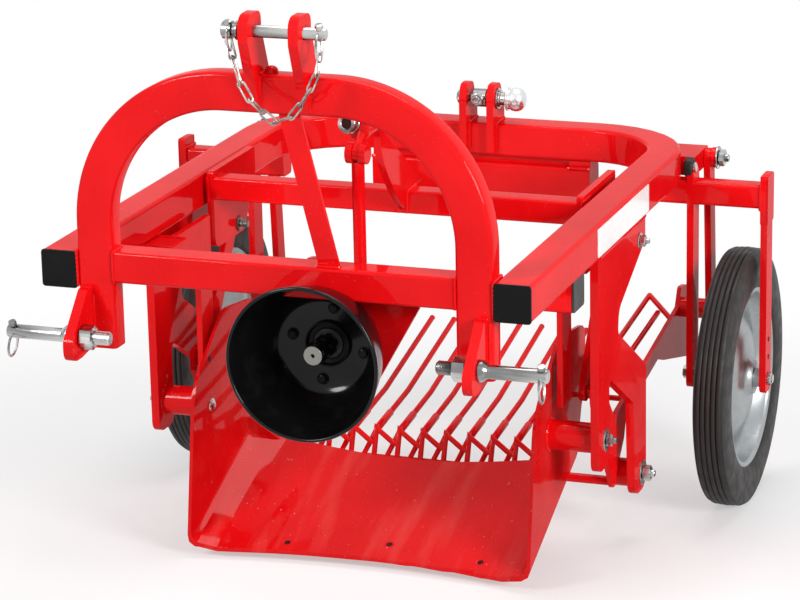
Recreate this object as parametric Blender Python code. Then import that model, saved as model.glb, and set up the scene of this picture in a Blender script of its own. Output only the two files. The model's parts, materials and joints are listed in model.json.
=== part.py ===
"""Tractor-mounted potato digger with a share, a shaking sieve and two depth wheels.

Metres. Until the last step the machine lies in its own frame: +X to its right, +Y to its rear,
+Z up, with z = 0 on top of the side rails and y = 0 at the front ends of the rails.
At the end the whole machine is tipped onto its wheels and the tip of its share.
"""

import math

import bmesh
import bpy
from mathutils import Matrix, Vector

# Clearances and overruns shared by all pieces
GAP = 0.0003
CUT_OVERRUN = 0.010
JOINT_GAP = 0.006

# Main frame
TUBE = 0.060
TUBE_ROUND = 0.007
FRAME_HALF_WIDTH = 0.400
FRAME_LENGTH = 1.040
FRAME_CORNER = 0.190
CAP_THICKNESS = 0.004
CAP_ROUND = 0.005

# Hitch arch and crossbar
ARCH_FRONT = 0.003
ARCH_DEPTH = 0.040
ARCH_TOP = 0.297
ARCH_CORNER = 0.250
ARCH_LEG_DROP = 0.155
CROSSBAR = 0.050
CROSSBAR_TOP = 0.002
CROSSBAR_ROUND = 0.005

# Top link clevis
CLEVIS_X = 0.008
EAR_GAP = 0.064
EAR_THICKNESS = 0.016
EAR_FOOT_DROP = 0.057
EAR_PIN_Y = -0.011
EAR_PIN_RISE = 0.070
EAR_HEAD_RADIUS = 0.028
EAR_SHOULDER = 0.004
TOP_PIN_RADIUS = 0.0095
TOP_PIN_REACH = 0.083
TOP_PIN_HEAD_RADIUS = 0.014
TOP_PIN_HEAD = 0.008
PIN_CLEARANCE = 0.0004

# Brace from the arch down to the crossbar
BRACE_TOP_X = 0.018
BRACE_FOOT_X = 0.076
BRACE_FACE = 0.034
BRACE_FLANGE = 0.026
BRACE_PLATE = 0.006
BRACE_SETBACK = 0.010

# Lower hitch lugs and pins
LUG_THICKNESS = 0.016
LUG_INSET = 0.0077
LUG_PIN_Y = -0.045
LUG_PIN_Z = -0.123
LUG_HEAD_RADIUS = 0.034
LUG_TOP_DROP = 0.056
LUG_FOOT_DROP = 0.150
HITCH_PIN_RADIUS = 0.011
HITCH_PIN_END = 0.440
HITCH_SHOULDER = 0.3415
HITCH_COLLAR_RADIUS = 0.017
HITCH_NUT_RADIUS = 0.018
HITCH_NUT = 0.024
HITCH_THREAD = 0.026
PIN_CHAMFER = 0.003

# Power take-off: cup, mounting plate, bearing housing and shaft
PTO_X = 0.058
PTO_Z = -0.1305
PTO_PLATE = 0.008
PTO_PLATE_LEFT = -0.072
PTO_PLATE_RIGHT = 0.205
PTO_PLATE_FOOT = -0.205
GUARD_FRONT = -0.072
GUARD_LIP_RADIUS = 0.1227
GUARD_LIP = 0.008
GUARD_MOUTH_RADIUS = 0.1165
GUARD_WAIST_RADIUS = 0.106
GUARD_NECK_RADIUS = 0.078
GUARD_WALL = 0.004
GUARD_HUB_RADIUS = 0.032
PTO_SHAFT_RADIUS = 0.0175
PTO_SHAFT_FRONT = -0.020
PTO_SHOULDER_RADIUS = 0.024
HOUSING_RADIUS = 0.052
HOUSING_LENGTH = 0.200
SHAFT_CLEARANCE = 0.0005
CRANK_RADIUS = 0.040
CRANK_DISC = 0.014
CRANK_THROW = 0.008
CRANK_PIN_RADIUS = 0.008
CRANK_PIN = 0.030

# Rocker across the frame, its lever and the connecting rod
ROCKER_Y = 0.530
ROCKER_Z = -0.026
ROCKER_TUBE = 0.040
ROCKER_ROUND = 0.005
ROCKER_PLATE = 0.012
ROCKER_SIDE_GAP = 0.008
ROCKER_PLATE_LENGTH = 0.190
ROCKER_PLATE_DROP = 0.105
ROCKER_STUB_RADIUS = 0.014
LEVER_X = 0.020
LEVER_PLATE = 0.012
LEVER_FRONT_Y = 0.392
LEVER_TOP_Z = 0.130
LEVER_FRONT_EDGE = 0.034
LEVER_BACK_Y = 0.585
LEVER_BOSS_RADIUS = 0.019
LEVER_BOSS_FRONT_Y = 0.322
LEVER_BOSS_Z = 0.142
LEVER_TIP_Y = 0.300
LEVER_TIP_Z = 0.108
LEVER_TONGUE = 0.026
ROD_RADIUS = 0.0105
ROD_HEAD_RADIUS = 0.0170
ROD_HEAD_WIDTH = 0.034
ROD_PIN_RADIUS = 0.006
ROD_SLOT_CLEARANCE = 0.0005
ROD_BIG_EYE_CLEARANCE = 0.003
ROD_BIG_EYE_WALL = 0.008
ROD_EYE_LENGTH = 0.016

# Arms that carry the share, and the stubs and straps beside them. Insets are from the frame's side
ARM_INSET = 0.020
ARM_THICKNESS = 0.014
ARM_TOP_GAP = 0.0003
ARM_LEG = 0.365
ARM_FRONT = 0.380
ARM_BOSS_Y = 0.415
ARM_BOSS_Z = -0.375
ARM_BOSS_RADIUS = 0.025
ARM_FOOT_Y = 0.640
ARM_FOOT_Z = -0.510
ARM_FOOT_RADIUS = 0.024
ARM_FOOT_BOSS = 0.030
ARM_FOOT_EDGE = 0.030
STUB_FRONT = 0.262
STUB_INSET = 0.110
STUB_OUTER_INSET = 0.026
STRAP_INSET = 0.088
STRAP_THICKNESS = 0.010
STRAP_WIDTH = 0.050
STRAP_FRONT = 0.420
STRAP_FOOT_Z = -0.330

# Share: one bent sheet with side panels
SHARE_HALF_WIDTH = 0.301
SHARE_SHEET = 0.006
SHARE_CORNER_RISE = 0.062
SHARE_TIP_Y = 0.292
SHARE_TIP_Z = -0.6096
SHARE_SLOPE = math.radians(20)
SHARE_LENGTH = 0.3006
SHARE_SIDE_RISE = 0.3836
SHARE_SIDE_REACH = 0.330
SHARE_EDGE_BOW = 0.036

# Sieve
BAR_COUNT = 12
BAR_PITCH = 0.0423
BAR_SHIFT = -0.010
BAR_RADIUS = 0.005
BAR_FOOT_Y = 0.594
BAR_FOOT_Z = -0.508
BAR_FOOT_SHIFT = 0.019
BAR_NECK_Y = 0.614
BAR_NECK_Z = -0.465
BAR_KNEE_Y = 0.780
BAR_KNEE_Z = -0.446
BAR_REAR_Y = 1.040
BAR_REAR_Z = -0.390
FOOT_ROD_Z = -0.512
FOOT_ROD_RADIUS = 0.008
CROWN_Y = 0.604
CROWN_Z = -0.4605
CROWN_SHIFT = 0.003
EDGE_BAR_X = 0.283
EDGE_BAR_Y = 1.100
EDGE_BAR_Z = -0.333
WING_BAR_X = 0.312
WING_BAR_Y = 1.050
WING_BAR_Z = -0.349
SIDE_BAR_FRONT = 0.645
SIDE_BAR_SLOPE = 0.11
SIDE_ROD_Y = 0.680
CORNER_ROD_Y = 0.990
SIDE_INSET = 0.048
SIDE_PLATE = 0.008
SIDE_FRONT_EYE_Y = 0.490
SIDE_FRONT_EYE_Z = -0.320
SIDE_LINE_Y = 0.904
SIDE_LINE_Z = -0.345
SIDE_LINE_SLOPE = 0.17
SIDE_DEPTH = 0.030
FOOT_PLATE_TOP_Z = -0.293
FOOT_PLATE_LOW_Z = -0.436
FOOT_PLATE_KEEL_Y = 0.910
LINK_PLATE = 0.010
LINK_EYE_RADIUS = 0.018
LINK_PIN_RADIUS = 0.008
LINK_SLACK = 0.0015
FRONT_LINK_RISE = 0.075
FRONT_LINK_LEAN = 0.008
HANGER_OUTSET = 0.008
HANGER_PLATE = 0.012
HANGER_SETBACK = 0.025
HANGER_Z = -0.045
HANGER_LENGTH = 0.285
HANGER_LEAN = -0.020
HANGER_WIDTH = 0.034

# Wheels and their forks
WHEEL_SETBACK = 0.125
WHEEL_Z = -0.412
WHEEL_RADIUS = 0.2285
TYRE_OUTSET = 0.065
TYRE_WIDTH = 0.061
TYRE_SHOULDER = 0.010
RIM_RADIUS = 0.158
RIM_WALL = 0.004
HUB_RADIUS = 0.030
HUB_WIDTH = 0.044
AXLE_RADIUS = 0.010
SLEEVE_RADIUS = 0.016
FORK_OUTSET = 0.005
FORK_TYRE_GAP = 0.010
FORK_PLATE = 0.012
FORK_WIDTH = 0.040
FORK_TOP = -0.042
FORK_TUBE = 0.042
FORK_TUBE_TOP = -0.0603
FORK_TUBE_INSET = 0.055
FORK_FOOT = 0.024
AXLE_HEAD = 0.010
AXLE_HEAD_RADIUS = 0.012

# Adjuster clevis on the rear beam, and the cross member under it
REAR_EAR_GAP = 0.038
REAR_EAR = 0.013
REAR_EAR_HEIGHT = 0.072
REAR_EAR_FRONT = 0.016
REAR_EAR_BACK = 0.050
REAR_EAR_DROP = 0.052
REAR_BOLT_Y = 0.992
REAR_BOLT_Z = 0.044
REAR_BOLT_RADIUS = 0.008
REAR_BOLT_REACH = 0.050
REAR_BOLT_HEAD_RADIUS = 0.014
CROSS_MEMBER_DROP = 0.012
CROSS_MEMBER_HALF = 0.205
CROSS_SPACER = 0.040

# The share's section: places as shares of its half width, with the rise at each in metres
SHARE_WIDTH_SHARES = (0.00, 0.25, 0.50, 0.72, 0.83, 0.955, 0.99, 1.00)
SHARE_FRONT_RISES = (0.000, 0.000, 0.000, 0.001, 0.003, 0.0145, 0.020, 0.030)
SHARE_REAR_RISES = (0.000, 0.002, 0.009, 0.0175, 0.0215, 0.028, 0.035, 0.045)

STEPS = 24
ARC_STEPS = 8

LEFT, RIGHT = -1, 1
SIDES = (("left", LEFT), ("right", RIGHT))

# Colour, metallic, roughness
FINISHES = {
    "red_paint": ((0.72, 0.008, 0.012), 0.0, 0.25),
    "zinc": ((0.62, 0.63, 0.62), 1.0, 0.35),
    "galvanised": ((0.55, 0.57, 0.58), 0.9, 0.45),
    "black_plastic": ((0.012, 0.012, 0.013), 0.0, 0.45),
    "rubber": ((0.018, 0.017, 0.016), 0.0, 0.7),
    "worn_steel": ((0.42, 0.41, 0.40), 1.0, 0.4),
}


# Places that follow from the sizes


def arm_inner():
    return FRAME_HALF_WIDTH - ARM_INSET


def side_inner():
    return FRAME_HALF_WIDTH - SIDE_INSET


def hanger_x():
    return FRAME_HALF_WIDTH + HANGER_OUTSET


def hanger_y():
    return FRAME_LENGTH - HANGER_SETBACK


def wheel_y():
    return FRAME_LENGTH - WHEEL_SETBACK


def tyre_outer():
    return FRAME_HALF_WIDTH + TYRE_OUTSET + TYRE_WIDTH


def fork_inner():
    return FRAME_HALF_WIDTH + FORK_OUTSET


def fork_outer():
    return tyre_outer() + FORK_TYRE_GAP


# Helpers


def finish(name):
    """The named material, made on first use."""
    found = bpy.data.materials.get(name)
    if found:
        return found
    colour, metallic, roughness = FINISHES[name]
    made = bpy.data.materials.new(name)
    made.use_nodes = True
    shader = made.node_tree.nodes["Principled BSDF"]
    shader.inputs["Base Color"].default_value = (*colour, 1.0)
    shader.inputs["Metallic"].default_value = metallic
    shader.inputs["Roughness"].default_value = roughness
    made.diffuse_color = (*colour, 1.0)
    return made


def place(name, bm, look, parent, pivot=(0, 0, 0)):
    """Turns a bmesh in the machine's frame into an object whose origin is the pivot."""
    bmesh.ops.recalc_face_normals(bm, faces=bm.faces)
    bmesh.ops.translate(bm, verts=bm.verts, vec=-Vector(pivot))
    mesh = bpy.data.meshes.new(name)
    bm.to_mesh(mesh)
    bm.free()
    mesh.shade_smooth()
    mesh.set_sharp_from_angle(angle=math.radians(35))
    obj = bpy.data.objects.new(name, mesh)
    bpy.context.scene.collection.objects.link(obj)
    obj.data.materials.append(finish(look))
    obj.parent = parent
    obj.location = pivot
    return obj


def combine(base, tools, operation="UNION"):
    """A live Boolean of the base with all the tools, which are kept as hidden helpers."""
    group = bpy.data.collections.new(f"{base.name}_{operation.lower()}_{len(base.modifiers)}")
    bpy.context.scene.collection.children.link(group)
    for tool in tools:
        bpy.context.scene.collection.objects.unlink(tool)
        group.objects.link(tool)
        tool.hide_render = True
        tool.display_type = "WIRE"
    modifier = base.modifiers.new(operation.title(), "BOOLEAN")
    modifier.operand_type = "COLLECTION"
    modifier.collection = group
    modifier.operation = operation
    modifier.solver = "EXACT"
    return base


def filleted(corners, steps=4):
    """A 2-D outline from (u, v, radius) corners, each rounded by an arc of its radius."""
    outline = []
    for index, (u, v, radius) in enumerate(corners):
        here = Vector((u, v))
        if radius == 0:
            outline.append(here)
            continue
        before = Vector(corners[index - 1][:2]) - here
        after = Vector(corners[(index + 1) % len(corners)][:2]) - here
        half = before.angle(after) / 2
        reach = min(radius / math.tan(half), before.length * 0.49, after.length * 0.49)
        radius = reach * math.tan(half)
        centre = here + (before.normalized() + after.normalized()).normalized() * (radius / math.sin(half))
        first = here + before.normalized() * reach - centre
        turn = first.angle_signed(here + after.normalized() * reach - centre)
        for step in range(steps + 1):
            outline.append(centre + Matrix.Rotation(-turn * step / steps, 2) @ first)
    return outline


def block_outline(u_low, v_low, u_high, v_high, radius):
    """A rectangle with rounded corners."""
    corners = ((u_low, v_low), (u_high, v_low), (u_high, v_high), (u_low, v_high))
    return filleted([(u, v, radius) for u, v in corners], 3)


def on_axis(axis, along, u, v):
    """The point that lies `along` the axis, with u and v on the two other axes in order."""
    return {"x": Vector((along, u, v)), "y": Vector((u, along, v)), "z": Vector((u, v, along))}[axis]


def prism(outline, axis, low, high):
    """A bmesh of a 2-D outline extruded along one axis."""
    bm = bmesh.new()
    ends = [[bm.verts.new(on_axis(axis, along, u, v)) for u, v in outline] for along in (low, high)]
    count = len(outline)
    for index in range(count):
        after = (index + 1) % count
        bm.faces.new((ends[0][index], ends[0][after], ends[1][after], ends[1][index]))
    bm.faces.new(ends[0])
    bm.faces.new(ends[1])
    return bm


def box(low, high):
    return prism(block_outline(low[1], low[2], high[1], high[2], 0), "x", low[0], high[0])


def turned(profile, axis, centre, steps=STEPS):
    """A bmesh of (radius, along) points turned about an axis through the centre.

    A profile that starts and ends at radius 0 is open, and any other one closes on itself.
    """
    bm = bmesh.new()
    rings = []
    for radius, along in profile:
        angles = [2 * math.pi * step / steps for step in range(steps if radius else 1)]
        rings.append(
            [
                bm.verts.new(on_axis(axis, along, radius * math.cos(angle), radius * math.sin(angle)))
                for angle in angles
            ]
        )
    closed = profile[0][0] != 0
    for index in range(len(rings) if closed else len(rings) - 1):
        first, second = rings[index], rings[(index + 1) % len(rings)]
        for step in range(steps):
            after = (step + 1) % steps
            corners = []
            for ring, order in ((first, (step, after)), (second, (after, step))):
                corners += [ring[0]] if len(ring) == 1 else [ring[place_] for place_ in order]
            bm.faces.new(corners)
    bmesh.ops.translate(bm, verts=bm.verts, vec=Vector(centre))
    return bm


def cylinder(radius, axis, low, high, centre, steps=STEPS):
    """A plain cylinder: `centre` gives its two other coordinates, with 0 along its axis."""
    return turned(((0, low), (radius, low), (radius, high), (0, high)), axis, centre, steps)


def sweep(section, stations):
    """A bmesh of a closed 2-D section carried along stations of (origin, u axis, v axis)."""
    bm = bmesh.new()
    loops = [
        [bm.verts.new(origin + u_axis * u + v_axis * v) for u, v in section]
        for origin, u_axis, v_axis in stations
    ]
    join_loops(bm, loops)
    return bm


def join_loops(bm, loops):
    """Faces between one loop of vertices and the next, with a face on both ends."""
    for first, second in zip(loops, loops[1:]):
        for index in range(len(first)):
            after = (index + 1) % len(first)
            bm.faces.new((first[index], first[after], second[after], second[index]))
    bm.faces.new(loops[0])
    bm.faces.new(loops[-1])


def rod(points, radius, side, sides=8):
    """A round rod along points in a plane whose normal is `side`, mitred at each point."""
    stations = []
    for index, point in enumerate(points):
        before = (point - points[max(index - 1, 0)]).normalized()
        after = (points[min(index + 1, len(points) - 1)] - point).normalized()
        along = (before + after).normalized()
        straight = before if before.length else after
        stretch = 1 / max(along.dot(straight), 0.5)
        stations.append((point, side, side.cross(along) * stretch))
    angles = [2 * math.pi * step / sides for step in range(sides)]
    return sweep([(radius * math.cos(a), radius * math.sin(a)) for a in angles], stations)


def quarter(centre, radius, start, end, steps=ARC_STEPS):
    """Points of an arc with the outward direction at each, angles in degrees."""
    for step in range(steps + 1):
        angle = math.radians(start + (end - start) * step / steps)
        outward = Vector((math.cos(angle), math.sin(angle)))
        yield Vector(centre) + outward * radius, outward


def span(side, inner, outer):
    """The X range from inner to outer on one side of the machine, lowest first."""
    return tuple(sorted((side * inner, side * outer)))


def link_outline(first, second, width, steps=6):
    """A flat link's outline in (y, z): two round ends of one width round its two eyes."""
    first, second = Vector(first), Vector(second)
    along = (second - first).normalized()
    start = math.atan2(along.y, along.x)
    outline = []
    for centre, turn in ((second, -math.pi / 2), (first, math.pi / 2)):
        for step in range(steps + 1):
            angle = start + turn + math.pi * step / steps
            outline.append(centre + Vector((math.cos(angle), math.sin(angle))) * width / 2)
    return outline


# Fixed frame


def build_main_frame(root):
    half = TUBE / 2
    section = block_outline(-half, -half, half, half, TUBE_ROUND)
    up = Vector((0, 0, 1))
    bend = FRAME_CORNER - half
    turn_x, turn_y = FRAME_HALF_WIDTH - FRAME_CORNER, FRAME_LENGTH - FRAME_CORNER
    rail_front = CAP_THICKNESS + GAP
    path = [(Vector((-FRAME_HALF_WIDTH + half, rail_front)), Vector((-1, 0)))]
    path += quarter((-turn_x, turn_y), bend, 180, 90)
    path += quarter((turn_x, turn_y), bend, 90, 0)
    path += [(Vector((FRAME_HALF_WIDTH - half, rail_front)), Vector((1, 0)))]
    stations = [(point.to_3d() - up * half, outward.to_3d(), up) for point, outward in path]
    place("main_frame", sweep(section, stations), "red_paint", root)
    for word, side in SIDES:
        low, high = span(side, FRAME_HALF_WIDTH - TUBE, FRAME_HALF_WIDTH)
        outline = block_outline(low, -TUBE, high, 0, CAP_ROUND)
        place(f"rail_cap_{word}", prism(outline, "y", 0, CAP_THICKNESS), "black_plastic", root)


def arch_half_width():
    return FRAME_HALF_WIDTH - TUBE - GAP


def build_hitch_arch(root):
    half = TUBE / 2
    section = block_outline(-half, -ARCH_DEPTH / 2, half, ARCH_DEPTH / 2, TUBE_ROUND)
    back = Vector((0, 1, 0))
    bend = ARCH_CORNER - half
    turn_x, turn_z = arch_half_width() - ARCH_CORNER, ARCH_TOP - ARCH_CORNER
    leg_x = arch_half_width() - half
    path = [(Vector((-leg_x, -ARCH_LEG_DROP)), Vector((-1, 0)))]
    path += quarter((-turn_x, turn_z), bend, 180, 90)
    path += quarter((turn_x, turn_z), bend, 90, 0)
    path += [(Vector((leg_x, -ARCH_LEG_DROP)), Vector((1, 0)))]
    middle = ARCH_FRONT + ARCH_DEPTH / 2
    stations = [
        (Vector((point.x, middle, point.y)), Vector((outward.x, 0, outward.y)), back)
        for point, outward in path
    ]
    place("hitch_arch", sweep(section, stations), "red_paint", root)
    reach = arch_half_width() - TUBE - GAP
    outline = block_outline(
        ARCH_FRONT, CROSSBAR_TOP - CROSSBAR, ARCH_FRONT + CROSSBAR, CROSSBAR_TOP, CROSSBAR_ROUND
    )
    place("front_crossbar", prism(outline, "x", -reach, reach), "red_paint", root)


def build_top_clevis(root):
    face = ARCH_FRONT - GAP
    seat = ARCH_TOP + GAP
    back = ARCH_FRONT + ARCH_DEPTH
    pin_z = ARCH_TOP + EAR_PIN_RISE
    crown = pin_z + EAR_HEAD_RADIUS
    front = EAR_PIN_Y - EAR_HEAD_RADIUS
    outline = filleted(
        [
            (front, pin_z - EAR_HEAD_RADIUS / 2, EAR_HEAD_RADIUS / 2),
            (face, ARCH_TOP - EAR_FOOT_DROP, 0),
            (face, seat, 0),
            (back, seat, 0),
            (back, seat + EAR_SHOULDER, EAR_SHOULDER),
            (EAR_PIN_Y + EAR_HEAD_RADIUS, pin_z, EAR_HEAD_RADIUS / 2),
            (EAR_PIN_Y + EAR_HEAD_RADIUS, crown, EAR_HEAD_RADIUS),
            (front, crown, EAR_HEAD_RADIUS),
        ]
    )
    for word, side in SIDES:
        inner, outer = side * EAR_GAP / 2, side * (EAR_GAP / 2 + EAR_THICKNESS)
        low, high = sorted((CLEVIS_X + inner, CLEVIS_X + outer))
        ear = place(f"clevis_ear_{word}", prism(outline, "x", low, high), "red_paint", root)
        hole = cylinder(
            TOP_PIN_RADIUS + PIN_CLEARANCE, "x", low - CUT_OVERRUN, high + CUT_OVERRUN, (0, EAR_PIN_Y, pin_z)
        )
        combine(ear, [place(f"clevis_ear_{word}_bore", hole, "red_paint", root)], "DIFFERENCE")
    profile = (
        (0, -TOP_PIN_REACH),
        (TOP_PIN_HEAD_RADIUS, -TOP_PIN_REACH),
        (TOP_PIN_HEAD_RADIUS, -TOP_PIN_REACH + TOP_PIN_HEAD),
        (TOP_PIN_RADIUS, -TOP_PIN_REACH + TOP_PIN_HEAD),
        (TOP_PIN_RADIUS, TOP_PIN_REACH - PIN_CHAMFER),
        (TOP_PIN_RADIUS - PIN_CHAMFER, TOP_PIN_REACH),
        (0, TOP_PIN_REACH),
    )
    place("top_link_pin", turned(profile, "x", (CLEVIS_X, EAR_PIN_Y, pin_z)), "zinc", root)


def build_brace(root):
    """An angle section that leans from the underside of the arch to the top of the crossbar."""
    front = ARCH_FRONT + BRACE_SETBACK
    section = [
        (0, front),
        (BRACE_FACE, front),
        (BRACE_FACE, front + BRACE_PLATE),
        (BRACE_PLATE, front + BRACE_PLATE),
        (BRACE_PLATE, front + BRACE_FLANGE),
        (0, front + BRACE_FLANGE),
    ]
    across, back = Vector((1, 0, 0)), Vector((0, 1, 0))
    stations = [
        (Vector((BRACE_FOOT_X - BRACE_FACE / 2, 0, CROSSBAR_TOP + GAP)), across, back),
        (Vector((BRACE_TOP_X - BRACE_FACE / 2, 0, ARCH_TOP - TUBE - GAP)), across, back),
    ]
    place("mast_brace", sweep(section, stations), "red_paint", root)


def build_lower_hitch(root):
    face = ARCH_FRONT - GAP
    nose = LUG_PIN_Y - LUG_HEAD_RADIUS
    outline = filleted(
        [
            (face, -LUG_TOP_DROP, 0),
            (face - LUG_HEAD_RADIUS / 2, -LUG_TOP_DROP, LUG_HEAD_RADIUS / 4),
            (nose, LUG_PIN_Z, LUG_HEAD_RADIUS / 2),
            (nose, LUG_PIN_Z - LUG_HEAD_RADIUS, LUG_HEAD_RADIUS),
            (LUG_PIN_Y, LUG_PIN_Z - LUG_HEAD_RADIUS, LUG_HEAD_RADIUS / 2),
            (face, -LUG_FOOT_DROP, 0),
        ]
    )
    outer = arch_half_width() - LUG_INSET
    inner = outer - LUG_THICKNESS
    profile = (
        (0, inner - GAP - HITCH_NUT - HITCH_THREAD),
        (HITCH_PIN_RADIUS - PIN_CHAMFER, inner - GAP - HITCH_NUT - HITCH_THREAD),
        (HITCH_PIN_RADIUS, inner - GAP - HITCH_NUT - HITCH_THREAD + PIN_CHAMFER),
        (HITCH_PIN_RADIUS, inner - GAP - HITCH_NUT),
        (HITCH_NUT_RADIUS, inner - GAP - HITCH_NUT),
        (HITCH_NUT_RADIUS, inner - GAP),
        (HITCH_PIN_RADIUS, inner - GAP),
        (HITCH_PIN_RADIUS, outer + GAP),
        (HITCH_COLLAR_RADIUS, outer + GAP),
        (HITCH_PIN_RADIUS + PIN_CHAMFER, HITCH_SHOULDER),
        (HITCH_PIN_RADIUS, HITCH_SHOULDER),
        (HITCH_PIN_RADIUS, HITCH_PIN_END - PIN_CHAMFER),
        (HITCH_PIN_RADIUS - PIN_CHAMFER, HITCH_PIN_END),
        (0, HITCH_PIN_END),
    )
    for word, side in SIDES:
        low, high = span(side, inner, outer)
        lug = place(f"hitch_lug_{word}", prism(outline, "x", low, high), "red_paint", root)
        centre = (0, LUG_PIN_Y, LUG_PIN_Z)
        hole = cylinder(
            HITCH_PIN_RADIUS + PIN_CLEARANCE, "x", low - CUT_OVERRUN, high + CUT_OVERRUN, centre
        )
        combine(lug, [place(f"hitch_lug_{word}_bore", hole, "red_paint", root)], "DIFFERENCE")
        mirrored = [(radius, side * along) for radius, along in profile]
        place(f"hitch_pin_{word}", turned(mirrored, "x", centre), "zinc", root)


# Power take-off


def pto_plate_front():
    return ARCH_FRONT + CROSSBAR + GAP


def build_pto(root):
    front = pto_plate_front()
    back = front + PTO_PLATE
    top = CROSSBAR_TOP - CROSSBAR / 2
    knee = CROSSBAR_TOP - CROSSBAR * 1.35
    foot_half = HOUSING_RADIUS * 1.3
    outline = [
        (PTO_PLATE_LEFT, top),
        (PTO_PLATE_RIGHT, top),
        (PTO_PLATE_RIGHT, knee),
        (PTO_X + foot_half, PTO_PLATE_FOOT),
        (PTO_X - foot_half, PTO_PLATE_FOOT),
        (PTO_PLATE_LEFT, knee),
    ]
    plate = place("pto_mount_plate", prism(outline, "y", front, back), "red_paint", root)
    centre = (PTO_X, 0, PTO_Z)
    housing_end = back + HOUSING_LENGTH
    housing = cylinder(HOUSING_RADIUS, "y", back - PTO_PLATE / 2, housing_end, centre)
    combine(plate, [place("pto_housing", housing, "red_paint", root)])
    bore = cylinder(
        PTO_SHOULDER_RADIUS + SHAFT_CLEARANCE, "y", front - CUT_OVERRUN, housing_end + CUT_OVERRUN, centre
    )
    combine(plate, [place("pto_housing_bore", bore, "red_paint", root)], "DIFFERENCE")

    waist = ARCH_FRONT - GUARD_WALL
    neck = waist + GUARD_WALL / 2
    rear = front - GAP
    lip = GUARD_FRONT + GUARD_LIP
    wall = GUARD_WALL
    profile = (
        (GUARD_LIP_RADIUS, GUARD_FRONT),
        (GUARD_LIP_RADIUS, lip),
        (GUARD_MOUTH_RADIUS, lip),
        (GUARD_WAIST_RADIUS, waist),
        (GUARD_NECK_RADIUS, neck),
        (GUARD_NECK_RADIUS, rear),
        (GUARD_HUB_RADIUS, rear),
        (GUARD_HUB_RADIUS, rear - wall),
        (GUARD_NECK_RADIUS - wall, rear - wall),
        (GUARD_NECK_RADIUS - wall, neck - wall),
        (GUARD_WAIST_RADIUS - wall, waist - wall),
        (GUARD_MOUTH_RADIUS - wall, lip),
        (GUARD_MOUTH_RADIUS - wall, GUARD_FRONT),
    )
    place("pto_guard", turned(profile, "y", centre, 48), "black_plastic", root)

    crank_front = housing_end + JOINT_GAP
    crank_back = crank_front + CRANK_DISC
    shoulder = front - GUARD_WALL
    profile = (
        (0, PTO_SHAFT_FRONT),
        (PTO_SHAFT_RADIUS - PIN_CHAMFER / 2, PTO_SHAFT_FRONT),
        (PTO_SHAFT_RADIUS, PTO_SHAFT_FRONT + PIN_CHAMFER / 2),
        (PTO_SHAFT_RADIUS, shoulder),
        (PTO_SHOULDER_RADIUS, shoulder),
        (PTO_SHOULDER_RADIUS, crank_front),
        (CRANK_RADIUS, crank_front),
        (CRANK_RADIUS, crank_back),
        (0, crank_back),
    )
    shaft = place("pto_shaft", turned(profile, "y", centre), "worn_steel", root, centre)
    pin = cylinder(
        CRANK_PIN_RADIUS, "y", crank_back - CRANK_DISC / 2, crank_back + CRANK_PIN, (crank_pin_x(), 0, PTO_Z)
    )
    combine(shaft, [place("crank_pin", pin, "worn_steel", root)])


def crank_pin_x():
    return PTO_X - CRANK_THROW


# Rocker, lever and connecting rod


def rocker_outer():
    return FRAME_HALF_WIDTH - TUBE - ROCKER_SIDE_GAP


def drive_eye():
    """Where the drive link hangs on the rocker's side plate, as (y, z)."""
    return ROCKER_Y + ROCKER_PLATE_LENGTH / 2, ROCKER_Z - ROCKER_PLATE_DROP + LINK_EYE_RADIUS


def build_rocker(root):
    pivot = (0, ROCKER_Y, ROCKER_Z)
    half = ROCKER_TUBE / 2
    outer = rocker_outer()
    inner = outer - ROCKER_PLATE
    tube = prism(
        block_outline(ROCKER_Y - half, ROCKER_Z - half, ROCKER_Y + half, ROCKER_Z + half, ROCKER_ROUND),
        "x",
        -inner - ROCKER_PLATE / 2,
        inner + ROCKER_PLATE / 2,
    )
    rocker = place("rocker", tube, "red_paint", root, pivot)
    front = ROCKER_Y - half
    top = ROCKER_Z + half + ROCKER_ROUND * 2
    low = ROCKER_Z - ROCKER_PLATE_DROP
    outline = filleted(
        [
            (front, top, ROCKER_ROUND),
            (front, low, LINK_EYE_RADIUS),
            (front + ROCKER_PLATE_LENGTH * 0.70, low, LINK_EYE_RADIUS),
            (front + ROCKER_PLATE_LENGTH, ROCKER_Z - half, LINK_EYE_RADIUS),
            (front + ROCKER_PLATE_LENGTH, top, ROCKER_ROUND),
        ]
    )
    tools = []
    eye_y, eye_z = drive_eye()
    for word, side in SIDES:
        plate = prism(outline, "x", *span(side, inner, outer))
        tools.append(place(f"rocker_plate_{word}", plate, "red_paint", root))
        stub = cylinder(
            ROCKER_STUB_RADIUS,
            "x",
            *span(side, outer - ROCKER_PLATE / 2, outer + ROCKER_SIDE_GAP - GAP),
            (0, ROCKER_Y, ROCKER_Z),
        )
        tools.append(place(f"rocker_stub_{word}", stub, "red_paint", root))
        reach = span(side, outer - ROCKER_PLATE / 2, drive_link_inner() + LINK_PLATE + GAP)
        pin = cylinder(LINK_PIN_RADIUS, "x", *reach, (0, eye_y, eye_z))
        tools.append(place(f"rocker_pin_{word}", pin, "red_paint", root))
    combine(rocker, tools)

    build_lever(root, pivot)


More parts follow.
